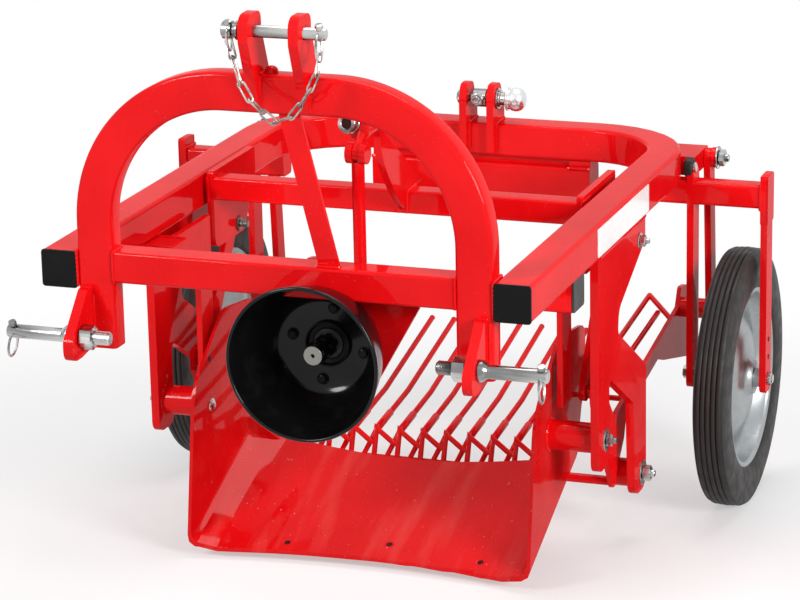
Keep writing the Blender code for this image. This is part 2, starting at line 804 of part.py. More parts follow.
def build_lever(root, pivot):
    """A curved plate on the rocker tube, with a boss and a tongue at its front end."""
    half = ROCKER_TUBE / 2
    front = ROCKER_Y - half - GAP
    seat = ROCKER_Z + half + GAP
    foot = ROCKER_Z - half * 0.6
    edge = LEVER_TOP_Z - LEVER_FRONT_EDGE
    curve_shares = ((0.10, 0.20), (0.30, 0.44), (0.52, 0.66), (0.76, 0.86), (1.00, 1.00))
    outline = [(LEVER_FRONT_Y, LEVER_TOP_Z), (LEVER_FRONT_Y, edge)]
    outline += [
        (LEVER_FRONT_Y + (front - LEVER_FRONT_Y) * along, edge - (edge - foot) * down)
        for along, down in curve_shares
    ]
    outline += [(front, seat), (LEVER_BACK_Y, seat), (LEVER_BACK_Y, seat + ROCKER_ROUND)]
    low, high = LEVER_X - LEVER_PLATE / 2, LEVER_X + LEVER_PLATE / 2
    lever = place("rocker_lever", prism(outline, "x", low, high), "red_paint", root, pivot)
    boss = cylinder(
        LEVER_BOSS_RADIUS,
        "y",
        LEVER_BOSS_FRONT_Y,
        LEVER_FRONT_Y + LEVER_BOSS_RADIUS,
        (LEVER_X - LEVER_PLATE / 2, 0, LEVER_BOSS_Z),
    )
    tip = (LEVER_TIP_Y, LEVER_TIP_Z)
    tongue = prism(
        link_outline((LEVER_BOSS_FRONT_Y + LEVER_TONGUE, LEVER_BOSS_Z), tip, LEVER_TONGUE), "x", low, high
    )
    tools = [place("lever_boss", boss, "red_paint", root), place("lever_tongue", tongue, "red_paint", root)]
    combine(lever, tools)
    bore = cylinder(
        ROD_PIN_RADIUS + PIN_CLEARANCE, "x", low - CUT_OVERRUN, high + CUT_OVERRUN, (0, *tip)
    )
    combine(lever, [place("lever_bore", bore, "red_paint", root)], "DIFFERENCE")


def drive_link_inner():
    return rocker_outer() + PIN_CLEARANCE


def build_connecting_rod(root):
    """A rod with a ring round the crank pin below and a slotted head on the lever's tongue above."""
    pivot = (LEVER_X, LEVER_TIP_Y, LEVER_TIP_Z)
    pin_x, pin_z = crank_pin_x(), PTO_Z
    inner = CRANK_PIN_RADIUS + 2 * CRANK_THROW + ROD_BIG_EYE_CLEARANCE
    outer = inner + ROD_BIG_EYE_WALL
    half = ROD_EYE_LENGTH / 2
    head_low = LEVER_TIP_Z - ROD_HEAD_RADIUS
    side_step = pin_x - LEVER_X
    ring_top = pin_z + math.sqrt(outer**2 - side_step**2) - ROD_BIG_EYE_WALL / 2
    shank = cylinder(ROD_RADIUS, "z", ring_top, head_low + ROD_BIG_EYE_WALL, (LEVER_X, LEVER_TIP_Y, 0))
    conrod = place("connecting_rod", shank, "red_paint", root, pivot)
    rear, front = LEVER_TIP_Y + half, LEVER_TIP_Y - half
    profile = ((outer, front), (outer, rear), (inner, rear), (inner, front))
    ring = turned(profile, "y", (pin_x, 0, pin_z), 32)
    head = cylinder(
        ROD_HEAD_RADIUS, "x", LEVER_X - ROD_HEAD_WIDTH / 2, LEVER_X + ROD_HEAD_WIDTH / 2, (0, *pivot[1:])
    )
    combine(
        conrod,
        [place("rod_big_eye", ring, "red_paint", root), place("rod_head", head, "red_paint", root)],
    )
    gap = LEVER_PLATE / 2 + ROD_SLOT_CLEARANCE
    slot_low = LEVER_TIP_Z - LEVER_TONGUE / 2 - ROD_SLOT_CLEARANCE * 2
    slot = box(
        (LEVER_X - gap, LEVER_TIP_Y - ROD_HEAD_RADIUS - CUT_OVERRUN, slot_low),
        (LEVER_X + gap, LEVER_TIP_Y + ROD_HEAD_RADIUS + CUT_OVERRUN, LEVER_TIP_Z + ROD_HEAD_RADIUS + CUT_OVERRUN),
    )
    combine(conrod, [place("rod_slot", slot, "red_paint", root)], "DIFFERENCE")
    reach = ROD_HEAD_WIDTH / 2 - PIN_CLEARANCE
    pin = cylinder(ROD_PIN_RADIUS, "x", LEVER_X - reach, LEVER_X + reach, (0, *pivot[1:]))
    combine(conrod, [place("rod_pin", pin, "red_paint", root)])


# Arms, straps and share


def build_arms(root):
    top = -TUBE - ARM_TOP_GAP
    foot = ARM_FOOT_Z - ARM_FOOT_EDGE
    toe = ARM_FOOT_Y + ARM_FOOT_EDGE
    leg_foot = top - ARM_LEG
    # Outline points as shares of the arm's depth to the rear and of its height down
    outline_shares = (
        (0.00, 0.00, 0.00),
        (0.98, 0.00, 0.00),
        (0.98, 0.09, 0.06),
        (0.42, 0.25, 0.10),
        (0.40, 0.33, 0.05),
        (1.00, 0.55, 0.08),
        (1.00, 1.00, 0.09),
        (0.76, 1.00, 0.09),
        (0.72, 0.64, 0.04),
        (0.22, 0.46, 0.03),
    )
    depth, height = toe - ARM_FRONT, top - foot
    corners = [
        (ARM_FRONT + along * depth, top - down * height, turn_share * depth)
        for along, down, turn_share in outline_shares
    ]
    leg_back = corners[-1][0]
    leg_turn = (leg_back - ARM_FRONT) * 0.3
    corners += [(leg_back, leg_foot, leg_turn), (ARM_FRONT, leg_foot, leg_turn)]
    outline = filleted(corners)
    for word, side in SIDES:
        outer = arm_inner() + ARM_THICKNESS
        arm = place(f"arm_{word}", prism(outline, "x", *span(side, arm_inner(), outer)), "red_paint", root)
        bosses = (
            ("boss", ARM_BOSS_RADIUS, SHARE_HALF_WIDTH + GAP, ARM_BOSS_Y, ARM_BOSS_Z),
            ("foot", ARM_FOOT_RADIUS, arm_inner() - ARM_FOOT_BOSS, ARM_FOOT_Y, ARM_FOOT_Z),
            ("foot_pin", LINK_PIN_RADIUS, front_link_inner() - GAP, ARM_FOOT_Y, ARM_FOOT_Z),
        )
        tools = []
        for tag, radius, inner, y, z in bosses:
            boss = cylinder(radius, "x", *span(side, inner, arm_inner() + ARM_THICKNESS / 2), (0, y, z))
            tools.append(place(f"arm_{tag}_{word}", boss, "red_paint", root))
        combine(arm, tools)

        under = -TUBE - GAP
        stub_back = STUB_FRONT + TUBE
        stub = prism(
            block_outline(STUB_FRONT, under - TUBE, stub_back, under, TUBE_ROUND),
            "x",
            *span(side, FRAME_HALF_WIDTH - STUB_INSET, FRAME_HALF_WIDTH - STUB_OUTER_INSET),
        )
        rail_stub = place(f"rail_stub_{word}", stub, "red_paint", root)
        strap_back = STRAP_FRONT + STRAP_WIDTH
        inner = FRAME_HALF_WIDTH - STRAP_INSET
        strap = prism(
            [
                (stub_back - TUBE_ROUND * 2, under),
                (strap_back, under),
                (strap_back, STRAP_FOOT_Z),
                (STRAP_FRONT, STRAP_FOOT_Z),
                (STRAP_FRONT, under - TUBE),
                (stub_back - TUBE_ROUND * 2, under - TUBE + TUBE_ROUND),
            ],
            "x",
            *span(side, inner, inner + STRAP_THICKNESS),
        )
        combine(rail_stub, [place(f"strap_{word}", strap, "red_paint", root)])


def share_section(rises, tall):
    """The share's outline across the machine, outside and then inside, from rises at the shares below."""
    wall, wide = SHARE_SHEET, SHARE_HALF_WIDTH
    half = [(wide * share, rise) for share, rise in zip(SHARE_WIDTH_SHARES, rises)]
    outer = [(x, z) for x, z in [*half, (wide, tall)]]
    thin = (wide - wall) / wide
    inner = [(x * thin, z + wall) for x, z in half] + [(wide - wall, tall)]
    return [
        *[(-x, z) for x, z in reversed(outer[1:])],
        *outer,
        *reversed(inner),
        *[(-x, z) for x, z in inner[1:]],
    ]


def build_share(root):
    """A channel of bent sheet, flat in front and dished behind, trimmed to its side panels."""
    slope = Vector((0, math.cos(SHARE_SLOPE), math.sin(SHARE_SLOPE)))
    rise = Vector((0, -math.sin(SHARE_SLOPE), math.cos(SHARE_SLOPE)))
    wide = SHARE_HALF_WIDTH
    tall = SHARE_SIDE_RISE + SHARE_SIDE_REACH
    tip = Vector((0, SHARE_TIP_Y, SHARE_TIP_Z))
    front_section, rear_section = share_section(SHARE_FRONT_RISES, tall), share_section(SHARE_REAR_RISES, tall)
    rows = (
        (-SHARE_LENGTH / 4, front_section),
        (SHARE_LENGTH, rear_section),
        (SHARE_LENGTH + SHARE_SIDE_REACH, rear_section),
    )
    bm = bmesh.new()
    loops = [
        [bm.verts.new(tip + slope * along + rise * v + Vector((u, 0, 0))) for u, v in section]
        for along, section in rows
    ]
    join_loops(bm, loops)
    share = place("share", bm, "red_paint", root)

    rear = SHARE_TIP_Y + SHARE_LENGTH * math.cos(SHARE_SLOPE)
    rear_z = SHARE_TIP_Z + SHARE_LENGTH * math.sin(SHARE_SLOPE)
    top = SHARE_TIP_Z + SHARE_SIDE_RISE
    depth = SHARE_SIDE_REACH
    under = SHARE_TIP_Z - CUT_OVERRUN
    outline = filleted(
        [
            (SHARE_TIP_Y, SHARE_TIP_Z, 0),
            (SHARE_TIP_Y, under, 0),
            (rear, under, 0),
            (rear, rear_z + SHARE_CORNER_RISE, 0),
            (SHARE_TIP_Y + depth, top - depth * 0.30, depth * 0.1),
            (SHARE_TIP_Y + depth, top - depth * 0.06, depth * 0.08),
            (SHARE_TIP_Y + depth * 0.56, top, depth * 0.15),
            (SHARE_TIP_Y + depth * 0.14, top - depth * 0.30, depth * 0.25),
        ]
    )
    trim = prism(outline, "x", -wide - CUT_OVERRUN, wide + CUT_OVERRUN)
    cutter = place("share_trim", trim, "red_paint", root)
    combine(share, [cutter], "INTERSECT")
    bow = (wide**2 + SHARE_EDGE_BOW**2) / (2 * SHARE_EDGE_BOW)
    centre_y = SHARE_TIP_Y + SHARE_EDGE_BOW - bow
    reach = math.degrees(math.asin(wide / bow))
    arc = [point for point, _ in quarter((0, centre_y), bow, 90 - reach, 90 + reach, 12)]
    front = SHARE_TIP_Y - CUT_OVERRUN
    arc += [Vector((-wide, front)), Vector((wide, front))]
    bite = prism(arc, "z", SHARE_TIP_Z - CUT_OVERRUN, SHARE_TIP_Z + SHARE_CORNER_RISE)
    combine(share, [place("share_bow", bite, "red_paint", root)], "DIFFERENCE")


# Sieve and its links


def side_line(y):
    """A point on the top edge of the sieve's side plates at a place along the machine."""
    return Vector((y, SIDE_LINE_Z + (y - SIDE_LINE_Y) * SIDE_LINE_SLOPE))


def front_link_eye():
    """The upper eye of the front link, as (y, z)."""
    return ARM_FOOT_Y - FRONT_LINK_LEAN, ARM_FOOT_Z + FRONT_LINK_RISE


def front_link_inner():
    return arm_inner() - ARM_FOOT_BOSS - PIN_CLEARANCE - LINK_PLATE


def hanger_eye():
    """The lower eye of the hanger, as (y, z)."""
    return hanger_y() - HANGER_LEAN, HANGER_Z - HANGER_LENGTH


def build_sieve_bars(root):
    """Long bars held at their front ends, where a row of bent fingers crosses them."""
    side_vector = Vector((1, 0, 0))
    reach = side_inner() - GAP
    foot_rod = cylinder(FOOT_ROD_RADIUS, "x", -reach, reach, (0, BAR_FOOT_Y, FOOT_ROD_Z), 10)
    base = place("sieve_bars", foot_rod, "red_paint", root)
    pieces = []
    for index in range(BAR_COUNT):
        across = BAR_SHIFT + (index - (BAR_COUNT - 1) / 2) * BAR_PITCH
        offset = side_vector * across
        path = [
            Vector((-BAR_FOOT_SHIFT, BAR_FOOT_Y, BAR_FOOT_Z)),
            Vector((0, BAR_NECK_Y, BAR_NECK_Z)),
            Vector((0, BAR_KNEE_Y, BAR_KNEE_Z)),
            Vector((0, BAR_REAR_Y, BAR_REAR_Z)),
        ]
        bar = rod([point + offset for point in path], BAR_RADIUS, side_vector)
        pieces.append(place(f"sieve_bar_{index}", bar, "red_paint", root))
        middle = (FOOT_ROD_Z + CROWN_Z) / 2
        foot = Vector((0, BAR_FOOT_Y, FOOT_ROD_Z)) + offset
        crown = Vector((CROWN_SHIFT, CROWN_Y, CROWN_Z)) + offset
        rest = Vector((BAR_PITCH - CROWN_SHIFT, (BAR_FOOT_Y + CROWN_Y) / 2, middle)) + offset
        normal = (rest - crown).cross(crown - foot).normalized()
        finger = rod([foot, crown, rest], BAR_RADIUS, normal)
        pieces.append(place(f"sieve_finger_{index}", finger, "red_paint", root))
    combine(base, pieces)


def side_outline():
    """The side plate in (y, z): a strap with the drive eye in front and the hanger's plate behind."""
    eye_y, eye_z = front_link_eye()
    hang_y = hanger_eye()[0]
    edge = LINK_EYE_RADIUS
    round_ = edge * 0.9
    toe_y, toe_z = BAR_FOOT_Y, FOOT_ROD_Z - edge / 2
    front, back = SIDE_FRONT_EYE_Y, hang_y + edge * 2.5
    top_front, top_rear = side_line(toe_y), side_line(hang_y - edge)
    low_front, low_rear = side_line(eye_y + edge * 2), side_line(FOOT_PLATE_KEEL_Y - edge * 2)
    return filleted(
        [
            (front - edge, SIDE_FRONT_EYE_Z + edge, round_),
            (front + edge, SIDE_FRONT_EYE_Z + edge, round_),
            (*top_front, edge),
            (*top_rear, edge / 2),
            (hang_y, FOOT_PLATE_TOP_Z, edge / 2),
            (back - edge / 2, FOOT_PLATE_TOP_Z - edge / 4, edge / 3),
            (back, FOOT_PLATE_LOW_Z, edge / 4),
            (FOOT_PLATE_KEEL_Y, FOOT_PLATE_LOW_Z + edge * 2.4, edge / 4),
            (low_rear.x, low_rear.y - SIDE_DEPTH, edge),
            (low_front.x, low_front.y - SIDE_DEPTH, edge),
            (eye_y + edge * 1.2, eye_z - edge, round_),
            (toe_y + edge / 2, toe_z + edge, edge / 2),
            (toe_y + edge / 2, toe_z, edge / 3),
            (toe_y - edge / 2, toe_z, edge / 3),
            (front - edge, SIDE_FRONT_EYE_Z - edge, edge),
        ]
    )


def build_sieve_sides(root):
    """Side plates with their pins, and two raised edge bars with the rods that hold them."""
    outline = side_outline()
    inside = side_inner() + SIDE_PLATE / 2
    drive_eye_yz = (SIDE_FRONT_EYE_Y, SIDE_FRONT_EYE_Z)
    # Pin name, its outer or inner end, its radius and its (y, z)
    pins = (
        ("drive", drive_link_inner() - GAP, LINK_PIN_RADIUS, drive_eye_yz),
        ("front", front_link_inner() - GAP, LINK_PIN_RADIUS, front_link_eye()),
        ("hang", hanger_x() + HANGER_PLATE + GAP, LINK_PIN_RADIUS, hanger_eye()),
        ("spacer", hanger_x() - PIN_CLEARANCE, LINK_EYE_RADIUS, hanger_eye()),
        ("cross", EDGE_BAR_X, BAR_RADIUS, (SIDE_ROD_Y, side_line(SIDE_ROD_Y).y - SIDE_DEPTH / 3)),
    )
    for word, side in SIDES:
        plate = prism(outline, "x", *span(side, side_inner(), side_inner() + SIDE_PLATE))
        base = place(f"sieve_side_{word}", plate, "red_paint", root)
        tools = []
        for tag, end, radius, eye in pins:
            pin = cylinder(radius, "x", *span(side, end, inside), (0, *eye))
            tools.append(place(f"sieve_{tag}_{word}", pin, "red_paint", root))
        edge_end = Vector((side * EDGE_BAR_X, EDGE_BAR_Y, EDGE_BAR_Z))
        wing_end = Vector((side * WING_BAR_X, WING_BAR_Y, WING_BAR_Z))
        corner_z = side_line(CORNER_ROD_Y).y - SIDE_DEPTH / 2
        corner = Vector((side * inside, CORNER_ROD_Y, corner_z))
        across = Vector((1, 0, 0))
        for tag, end in (("edge", edge_end), ("wing", wing_end)):
            drop = (end.y - SIDE_BAR_FRONT) * SIDE_BAR_SLOPE
            start = Vector((end.x, SIDE_BAR_FRONT, end.z - drop))
            bar = rod([start, end], BAR_RADIUS, across)
            tools.append(place(f"sieve_{tag}_bar_{word}", bar, "red_paint", root))
        level = (corner - edge_end).cross(Vector((0, 0, 1))).normalized()
        corner_rod = rod([edge_end, corner], BAR_RADIUS, level)
        tools.append(place(f"sieve_corner_{word}", corner_rod, "red_paint", root))
        combine(base, tools)


def link_hole():
    return LINK_PIN_RADIUS + LINK_SLACK


def build_link(root, name, eyes, low, high, width, bores):
    """A flat link with its origin on its first eye and a bore of its own at each eye."""
    first = (0, *eyes[0])
    link = place(name, prism(link_outline(*eyes, width), "x", low, high), "red_paint", root, first)
    cutters = [
        place(
            f"{name}_bore_{index}",
            cylinder(radius, "x", low - CUT_OVERRUN, high + CUT_OVERRUN, (0, *eye)),
            "red_paint",
            root,
        )
        for index, (eye, radius) in enumerate(zip(eyes, bores))
    ]
    combine(link, cutters, "DIFFERENCE")


def build_links(root):
    width = LINK_EYE_RADIUS * 2
    snug = LINK_PIN_RADIUS + PIN_CLEARANCE
    for word, side in SIDES:
        low, high = span(side, drive_link_inner(), drive_link_inner() + LINK_PLATE)
        eyes = (drive_eye(), (SIDE_FRONT_EYE_Y, SIDE_FRONT_EYE_Z))
        build_link(root, f"drive_link_{word}", eyes, low, high, width, (snug, link_hole()))

        low, high = span(side, front_link_inner(), front_link_inner() + LINK_PLATE)
        eyes = ((ARM_FOOT_Y, ARM_FOOT_Z), front_link_eye())
        build_link(root, f"front_link_{word}", eyes, low, high, width, (snug, link_hole()))

        low, high = span(side, hanger_x(), hanger_x() + HANGER_PLATE)
        eyes = ((hanger_y(), HANGER_Z), hanger_eye())
        bores = (AXLE_RADIUS + PIN_CLEARANCE, link_hole())
        build_link(root, f"hanger_{word}", eyes, low, high, HANGER_WIDTH, bores)


# Wheels, forks and rear clevis


def build_wheels(root):
    for word, side in SIDES:
        centre = (0, wheel_y(), WHEEL_Z)
        outer = tyre_outer()
        inner = outer - TYRE_WIDTH
        seat = RIM_RADIUS + GAP
        tread = WHEEL_RADIUS
        shoulder = TYRE_SHOULDER
        profile = [
            (seat, inner + shoulder),
            (seat + shoulder, inner),
            (tread - shoulder * 2, inner),
            (tread - shoulder * 0.4, inner + shoulder * 0.6),
            (tread, inner + shoulder * 1.6),
            (tread, outer - shoulder * 1.6),
            (tread - shoulder * 0.4, outer - shoulder * 0.6),
            (tread - shoulder * 2, outer),
            (seat + shoulder, outer),
            (seat, outer - shoulder),
        ]
        mirrored = [(radius, side * along) for radius, along in profile]
        place(f"tyre_{word}", turned(mirrored, "x", centre, 48), "rubber", root, centre)

        middle = (outer + inner) / 2
        hub_half = HUB_WIDTH / 2
        bore = AXLE_RADIUS + PIN_CLEARANCE
        rim_out, rim_in = outer - shoulder, inner + shoulder
        wall = RIM_WALL
        sleeve_in = fork_inner() + FORK_PLATE + JOINT_GAP
        sleeve_out = fork_outer() - JOINT_GAP
        profile = [
            (RIM_RADIUS, rim_in),
            (RIM_RADIUS, rim_out),
            (RIM_RADIUS - wall, rim_out),
            (RIM_RADIUS - wall * 3, middle + wall),
            (HUB_RADIUS * 2, middle + wall * 3),
            (HUB_RADIUS, middle + wall * 2),
            (HUB_RADIUS, middle + hub_half),
            (SLEEVE_RADIUS, middle + hub_half),
            (SLEEVE_RADIUS, sleeve_out),
            (bore, sleeve_out),
            (bore, sleeve_in),
            (SLEEVE_RADIUS, sleeve_in),
            (SLEEVE_RADIUS, middle - hub_half),
            (HUB_RADIUS, middle - hub_half),
            (HUB_RADIUS, middle - wall),
            (HUB_RADIUS * 2, middle),
            (RIM_RADIUS - wall * 3, middle - wall),
            (RIM_RADIUS - wall, rim_in),
        ]
        mirrored = [(radius, side * along) for radius, along in profile]
        place(f"rim_{word}", turned(mirrored, "x", centre, 48), "galvanised", root, centre)


def build_forks(root):
    half = FORK_WIDTH / 2
    for word, side in SIDES:
        foot = WHEEL_Z - FORK_FOOT
        outline = filleted(
            [
                (wheel_y() - half, FORK_TOP, TUBE_ROUND),
                (wheel_y() - half, foot, half * 0.6),
                (wheel_y() + half, foot, half * 0.6),
                (wheel_y() + half, FORK_TOP, TUBE_ROUND),
            ]
        )
        outer_leg = prism(outline, "x", *span(side, fork_outer(), fork_outer() + FORK_PLATE))
        fork = place(f"wheel_fork_{word}", outer_leg, "red_paint", root)
        inner_leg = prism(outline, "x", *span(side, fork_inner(), fork_inner() + FORK_PLATE))
        tube = prism(
            block_outline(
                wheel_y() - half, FORK_TUBE_TOP - FORK_TUBE, wheel_y() + half, FORK_TUBE_TOP, TUBE_ROUND
            ),
            "x",
            *span(side, FRAME_HALF_WIDTH - FORK_TUBE_INSET, fork_outer() + FORK_PLATE / 2),
        )
        tools = [
            place(f"fork_inner_{word}", inner_leg, "red_paint", root),
            place(f"fork_tube_{word}", tube, "red_paint", root),
        ]
        combine(fork, tools)
        bore = cylinder(
            AXLE_RADIUS + PIN_CLEARANCE,
            "x",
            *span(side, fork_inner() - CUT_OVERRUN, fork_outer() + FORK_PLATE + CUT_OVERRUN),
            (0, wheel_y(), WHEEL_Z),
        )
        combine(fork, [place(f"fork_bore_{word}", bore, "red_paint", root)], "DIFFERENCE")

        inner, outer = fork_inner() - GAP, fork_outer() + FORK_PLATE + GAP
        profile = [
            (0, inner - AXLE_HEAD),
            (AXLE_HEAD_RADIUS, inner - AXLE_HEAD),
            (AXLE_HEAD_RADIUS, inner),
            (AXLE_RADIUS, inner),
            (AXLE_RADIUS, outer),
            (AXLE_HEAD_RADIUS, outer),
            (AXLE_HEAD_RADIUS, outer + AXLE_HEAD),
            (0, outer + AXLE_HEAD),
        ]
        mirrored = [(radius, side * along) for radius, along in profile]
        place(f"wheel_axle_{word}", turned(mirrored, "x", (0, wheel_y(), WHEEL_Z)), "zinc", root)

        build_hanger_bracket(root, word, side)


def rear_corner_points():
    """The right rear corner's outer facets in (x, y), moved out by the gap."""
    half_step = math.radians(90) / ARC_STEPS / 2
    radius = FRAME_CORNER + GAP / math.cos(half_step)
    centre = (FRAME_HALF_WIDTH - FRAME_CORNER, FRAME_LENGTH - FRAME_CORNER)
    return [point for point, _ in quarter(centre, radius, 0, 90)]


def rear_corner_x(y):
    """Where a line across the machine leaves the gap outside the rear corner."""
    points = rear_corner_points()
    for near, far in zip(points, points[1:]):
        if near.y <= y <= far.y:
            share = (y - near.y) / (far.y - near.y)
            return near.x + (far.x - near.x) * share
    return FRAME_HALF_WIDTH + GAP


def build_hanger_bracket(root, word, side):
    """A plate on the frame's rear corner that holds the hanger's bolt."""
    front = wheel_y() + FORK_WIDTH / 2 + JOINT_GAP
    back = hanger_y() + HANGER_WIDTH / 2
    outer = hanger_x() - PIN_CLEARANCE
    rows = [front, *(point.y for point in rear_corner_points() if front < point.y < back), back]
    inner = [(rear_corner_x(y), y) for y in rows]
    outline = [(side * x, y) for x, y in [*inner, (outer, back), (outer, front)]]
    plate = prism(outline, "z", HANGER_Z - HANGER_WIDTH / 2, HANGER_Z + HANGER_WIDTH / 2)
    bracket = place(f"hanger_bracket_{word}", plate, "red_paint", root)
    centre = (0, hanger_y(), HANGER_Z)
    head = hanger_x() + HANGER_PLATE + PIN_CLEARANCE
    bolt = cylinder(AXLE_RADIUS, "x", *span(side, outer - HANGER_PLATE, head + AXLE_HEAD / 2), centre)
    cap = cylinder(AXLE_HEAD_RADIUS * 1.5, "x", *span(side, head, head + AXLE_HEAD), centre)
    tools = [
        place(f"hanger_bolt_{word}", bolt, "red_paint", root),
        place(f"hanger_head_{word}", cap, "red_paint", root),
    ]
    combine(bracket, tools)


def build_rear_clevis(root):
    """Two ears hooked over the rear beam's inner face, and the cross member hung under the beam."""
    face = FRAME_LENGTH - TUBE - GAP
    front, back = face - REAR_EAR_FRONT, face + REAR_EAR_BACK
    turn = REAR_EAR_FRONT / 2
    outline = filleted(
        [
            (front, -REAR_EAR_DROP, turn / 2),
            (face, -REAR_EAR_DROP, 0),
            (face, GAP, 0),
            (back, GAP, 0),
            (back, REAR_EAR_FRONT, turn),
            (REAR_BOLT_Y + REAR_BOLT_RADIUS * 2, REAR_EAR_HEIGHT, turn * 2),
            (front + turn, REAR_EAR_HEIGHT, turn * 2),
            (front, REAR_BOLT_Z, turn * 2),
        ]
    )
    centre = (0, REAR_BOLT_Y, REAR_BOLT_Z)
    for word, side in SIDES:
        low, high = span(side, REAR_EAR_GAP / 2, REAR_EAR_GAP / 2 + REAR_EAR)
        ear = place(f"rear_ear_{word}", prism(outline, "x", low, high), "red_paint", root)
        bore = cylinder(REAR_BOLT_RADIUS + PIN_CLEARANCE, "x", low - CUT_OVERRUN, high + CUT_OVERRUN, centre)
        combine(ear, [place(f"rear_ear_{word}_bore", bore, "red_paint", root)], "DIFFERENCE")
    cheek = REAR_EAR_GAP / 2 + REAR_EAR + GAP
    profile = (
        (0, -REAR_BOLT_REACH),
        (REAR_BOLT_HEAD_RADIUS, -REAR_BOLT_REACH),
        (REAR_BOLT_HEAD_RADIUS, -cheek),
        (REAR_BOLT_RADIUS, -cheek),
        (REAR_BOLT_RADIUS, cheek),
        (REAR_BOLT_HEAD_RADIUS, cheek),
        (REAR_BOLT_HEAD_RADIUS, REAR_BOLT_REACH),
        (0, REAR_BOLT_REACH),
    )
    place("rear_clevis_bolt", turned(profile, "x", centre), "zinc", root)

    top = -TUBE - CROSS_MEMBER_DROP
    beam = prism(
        block_outline(FRAME_LENGTH - TUBE, top - TUBE, FRAME_LENGTH, top, TUBE_ROUND),
        "x",
        -CROSS_MEMBER_HALF,
        CROSS_MEMBER_HALF,
    )
    member = place("rear_cross_member", beam, "red_paint", root)
    tools = []
    for word, side in SIDES:
        near, far = span(side, CROSS_MEMBER_HALF - CROSS_SPACER, CROSS_MEMBER_HALF)
        spacer = box(
            (near, FRAME_LENGTH - TUBE + TUBE_ROUND, top - TUBE_ROUND),
            (far, FRAME_LENGTH - TUBE_ROUND, -TUBE - GAP),
        )
        tools.append(place(f"cross_spacer_{word}", spacer, "red_paint", root))
    combine(member, tools)


# Stance


def stance_angle():
    """The tip that puts the wheels and the share's tip on one level."""
    along, down = wheel_y() - SHARE_TIP_Y, WHEEL_Z - SHARE_TIP_Z
    return math.asin(WHEEL_RADIUS / math.hypot(along, down)) - math.atan2(down, along)


def stand_on_floor(root):
    """Turns the machine to its stance, centres its box on the origin and seats it at z = 0."""
    root.rotation_euler = (stance_angle(), 0, 0)
    bpy.context.view_layer.update()
    graph = bpy.context.evaluated_depsgraph_get()
    corners = []
    for obj in bpy.context.scene.objects:
        if obj.type != "MESH" or obj.hide_render:
            continue
        evaluated = obj.evaluated_get(graph)
        mesh = evaluated.to_mesh()
        corners += [evaluated.matrix_world @ vertex.co for vertex in mesh.vertices]
        evaluated.to_mesh_clear()
    lowest = [min(corner[axis] for corner in corners) for axis in range(3)]
    highest = [max(corner[axis] for corner in corners) for axis in range(3)]
    middle = [(low + high) / 2 for low, high in zip(lowest, highest)]
    root.location = (-middle[0], -middle[1], -lowest[2])


def main():
    for obj in list(bpy.data.objects):
        bpy.data.objects.remove(obj, do_unlink=True)
    root = bpy.data.objects.new("digger", None)
    bpy.context.scene.collection.objects.link(root)
    build_main_frame(root)
    build_hitch_arch(root)
    build_top_clevis(root)
    build_brace(root)
    build_lower_hitch(root)
    build_pto(root)
    build_rocker(root)
    build_connecting_rod(root)
    build_arms(root)
    build_share(root)
    build_sieve_bars(root)
    build_sieve_sides(root)
    build_links(root)
    build_wheels(root)
    build_forks(root)
    build_rear_clevis(root)
    stand_on_floor(root)


main()
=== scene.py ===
import json
import math
from collections import namedtuple

import bmesh
import bpy
from mathutils import Matrix, Vector


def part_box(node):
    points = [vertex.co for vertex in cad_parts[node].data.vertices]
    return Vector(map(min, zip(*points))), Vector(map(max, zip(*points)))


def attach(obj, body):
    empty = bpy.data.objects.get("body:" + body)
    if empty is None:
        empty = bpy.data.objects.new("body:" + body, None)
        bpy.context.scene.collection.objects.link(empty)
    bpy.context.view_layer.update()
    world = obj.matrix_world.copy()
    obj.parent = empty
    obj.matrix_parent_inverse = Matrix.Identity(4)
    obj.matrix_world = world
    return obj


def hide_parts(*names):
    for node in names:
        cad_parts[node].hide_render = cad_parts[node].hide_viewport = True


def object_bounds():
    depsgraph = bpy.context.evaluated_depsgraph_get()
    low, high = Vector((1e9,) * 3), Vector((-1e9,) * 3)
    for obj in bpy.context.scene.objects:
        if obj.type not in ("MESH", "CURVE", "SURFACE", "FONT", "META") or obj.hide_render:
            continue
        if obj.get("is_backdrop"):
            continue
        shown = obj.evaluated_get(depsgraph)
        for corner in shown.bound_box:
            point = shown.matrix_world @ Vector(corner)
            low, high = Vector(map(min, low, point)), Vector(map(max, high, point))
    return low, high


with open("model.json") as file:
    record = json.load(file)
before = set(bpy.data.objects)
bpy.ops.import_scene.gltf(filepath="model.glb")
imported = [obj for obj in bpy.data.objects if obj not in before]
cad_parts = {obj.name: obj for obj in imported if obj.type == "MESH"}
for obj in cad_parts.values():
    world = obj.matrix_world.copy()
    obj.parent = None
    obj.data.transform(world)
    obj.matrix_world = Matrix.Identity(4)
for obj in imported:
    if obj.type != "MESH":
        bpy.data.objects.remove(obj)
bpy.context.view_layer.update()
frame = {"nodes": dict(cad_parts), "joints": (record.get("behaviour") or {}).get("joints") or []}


def middle_of(node):
    low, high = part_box(node)
    return (Vector(low) + Vector(high)) / 2


# The machine's own frame: its rails lie level there, and it is tipped onto its wheels and share
AXLE_Y, AXLE_Z = 0.915, -0.412
axle_right = middle_of("tyre_right")
pto = next(joint for joint in frame["joints"] if joint["name"] == "pto_spin")
TILT = math.atan2(pto["axis"][2], pto["axis"][1])
TURN = Matrix.Rotation(TILT, 3, "X")
ORIGIN = Vector((0, axle_right.y, axle_right.z)) - TURN @ Vector((0, AXLE_Y, AXLE_Z))
PLACE = Matrix.Translation(ORIGIN) @ TURN.to_4x4()


def at(x, y, z):
    """A point given in the machine's own frame."""
    return PLACE @ Vector((x, y, z))


# Camera

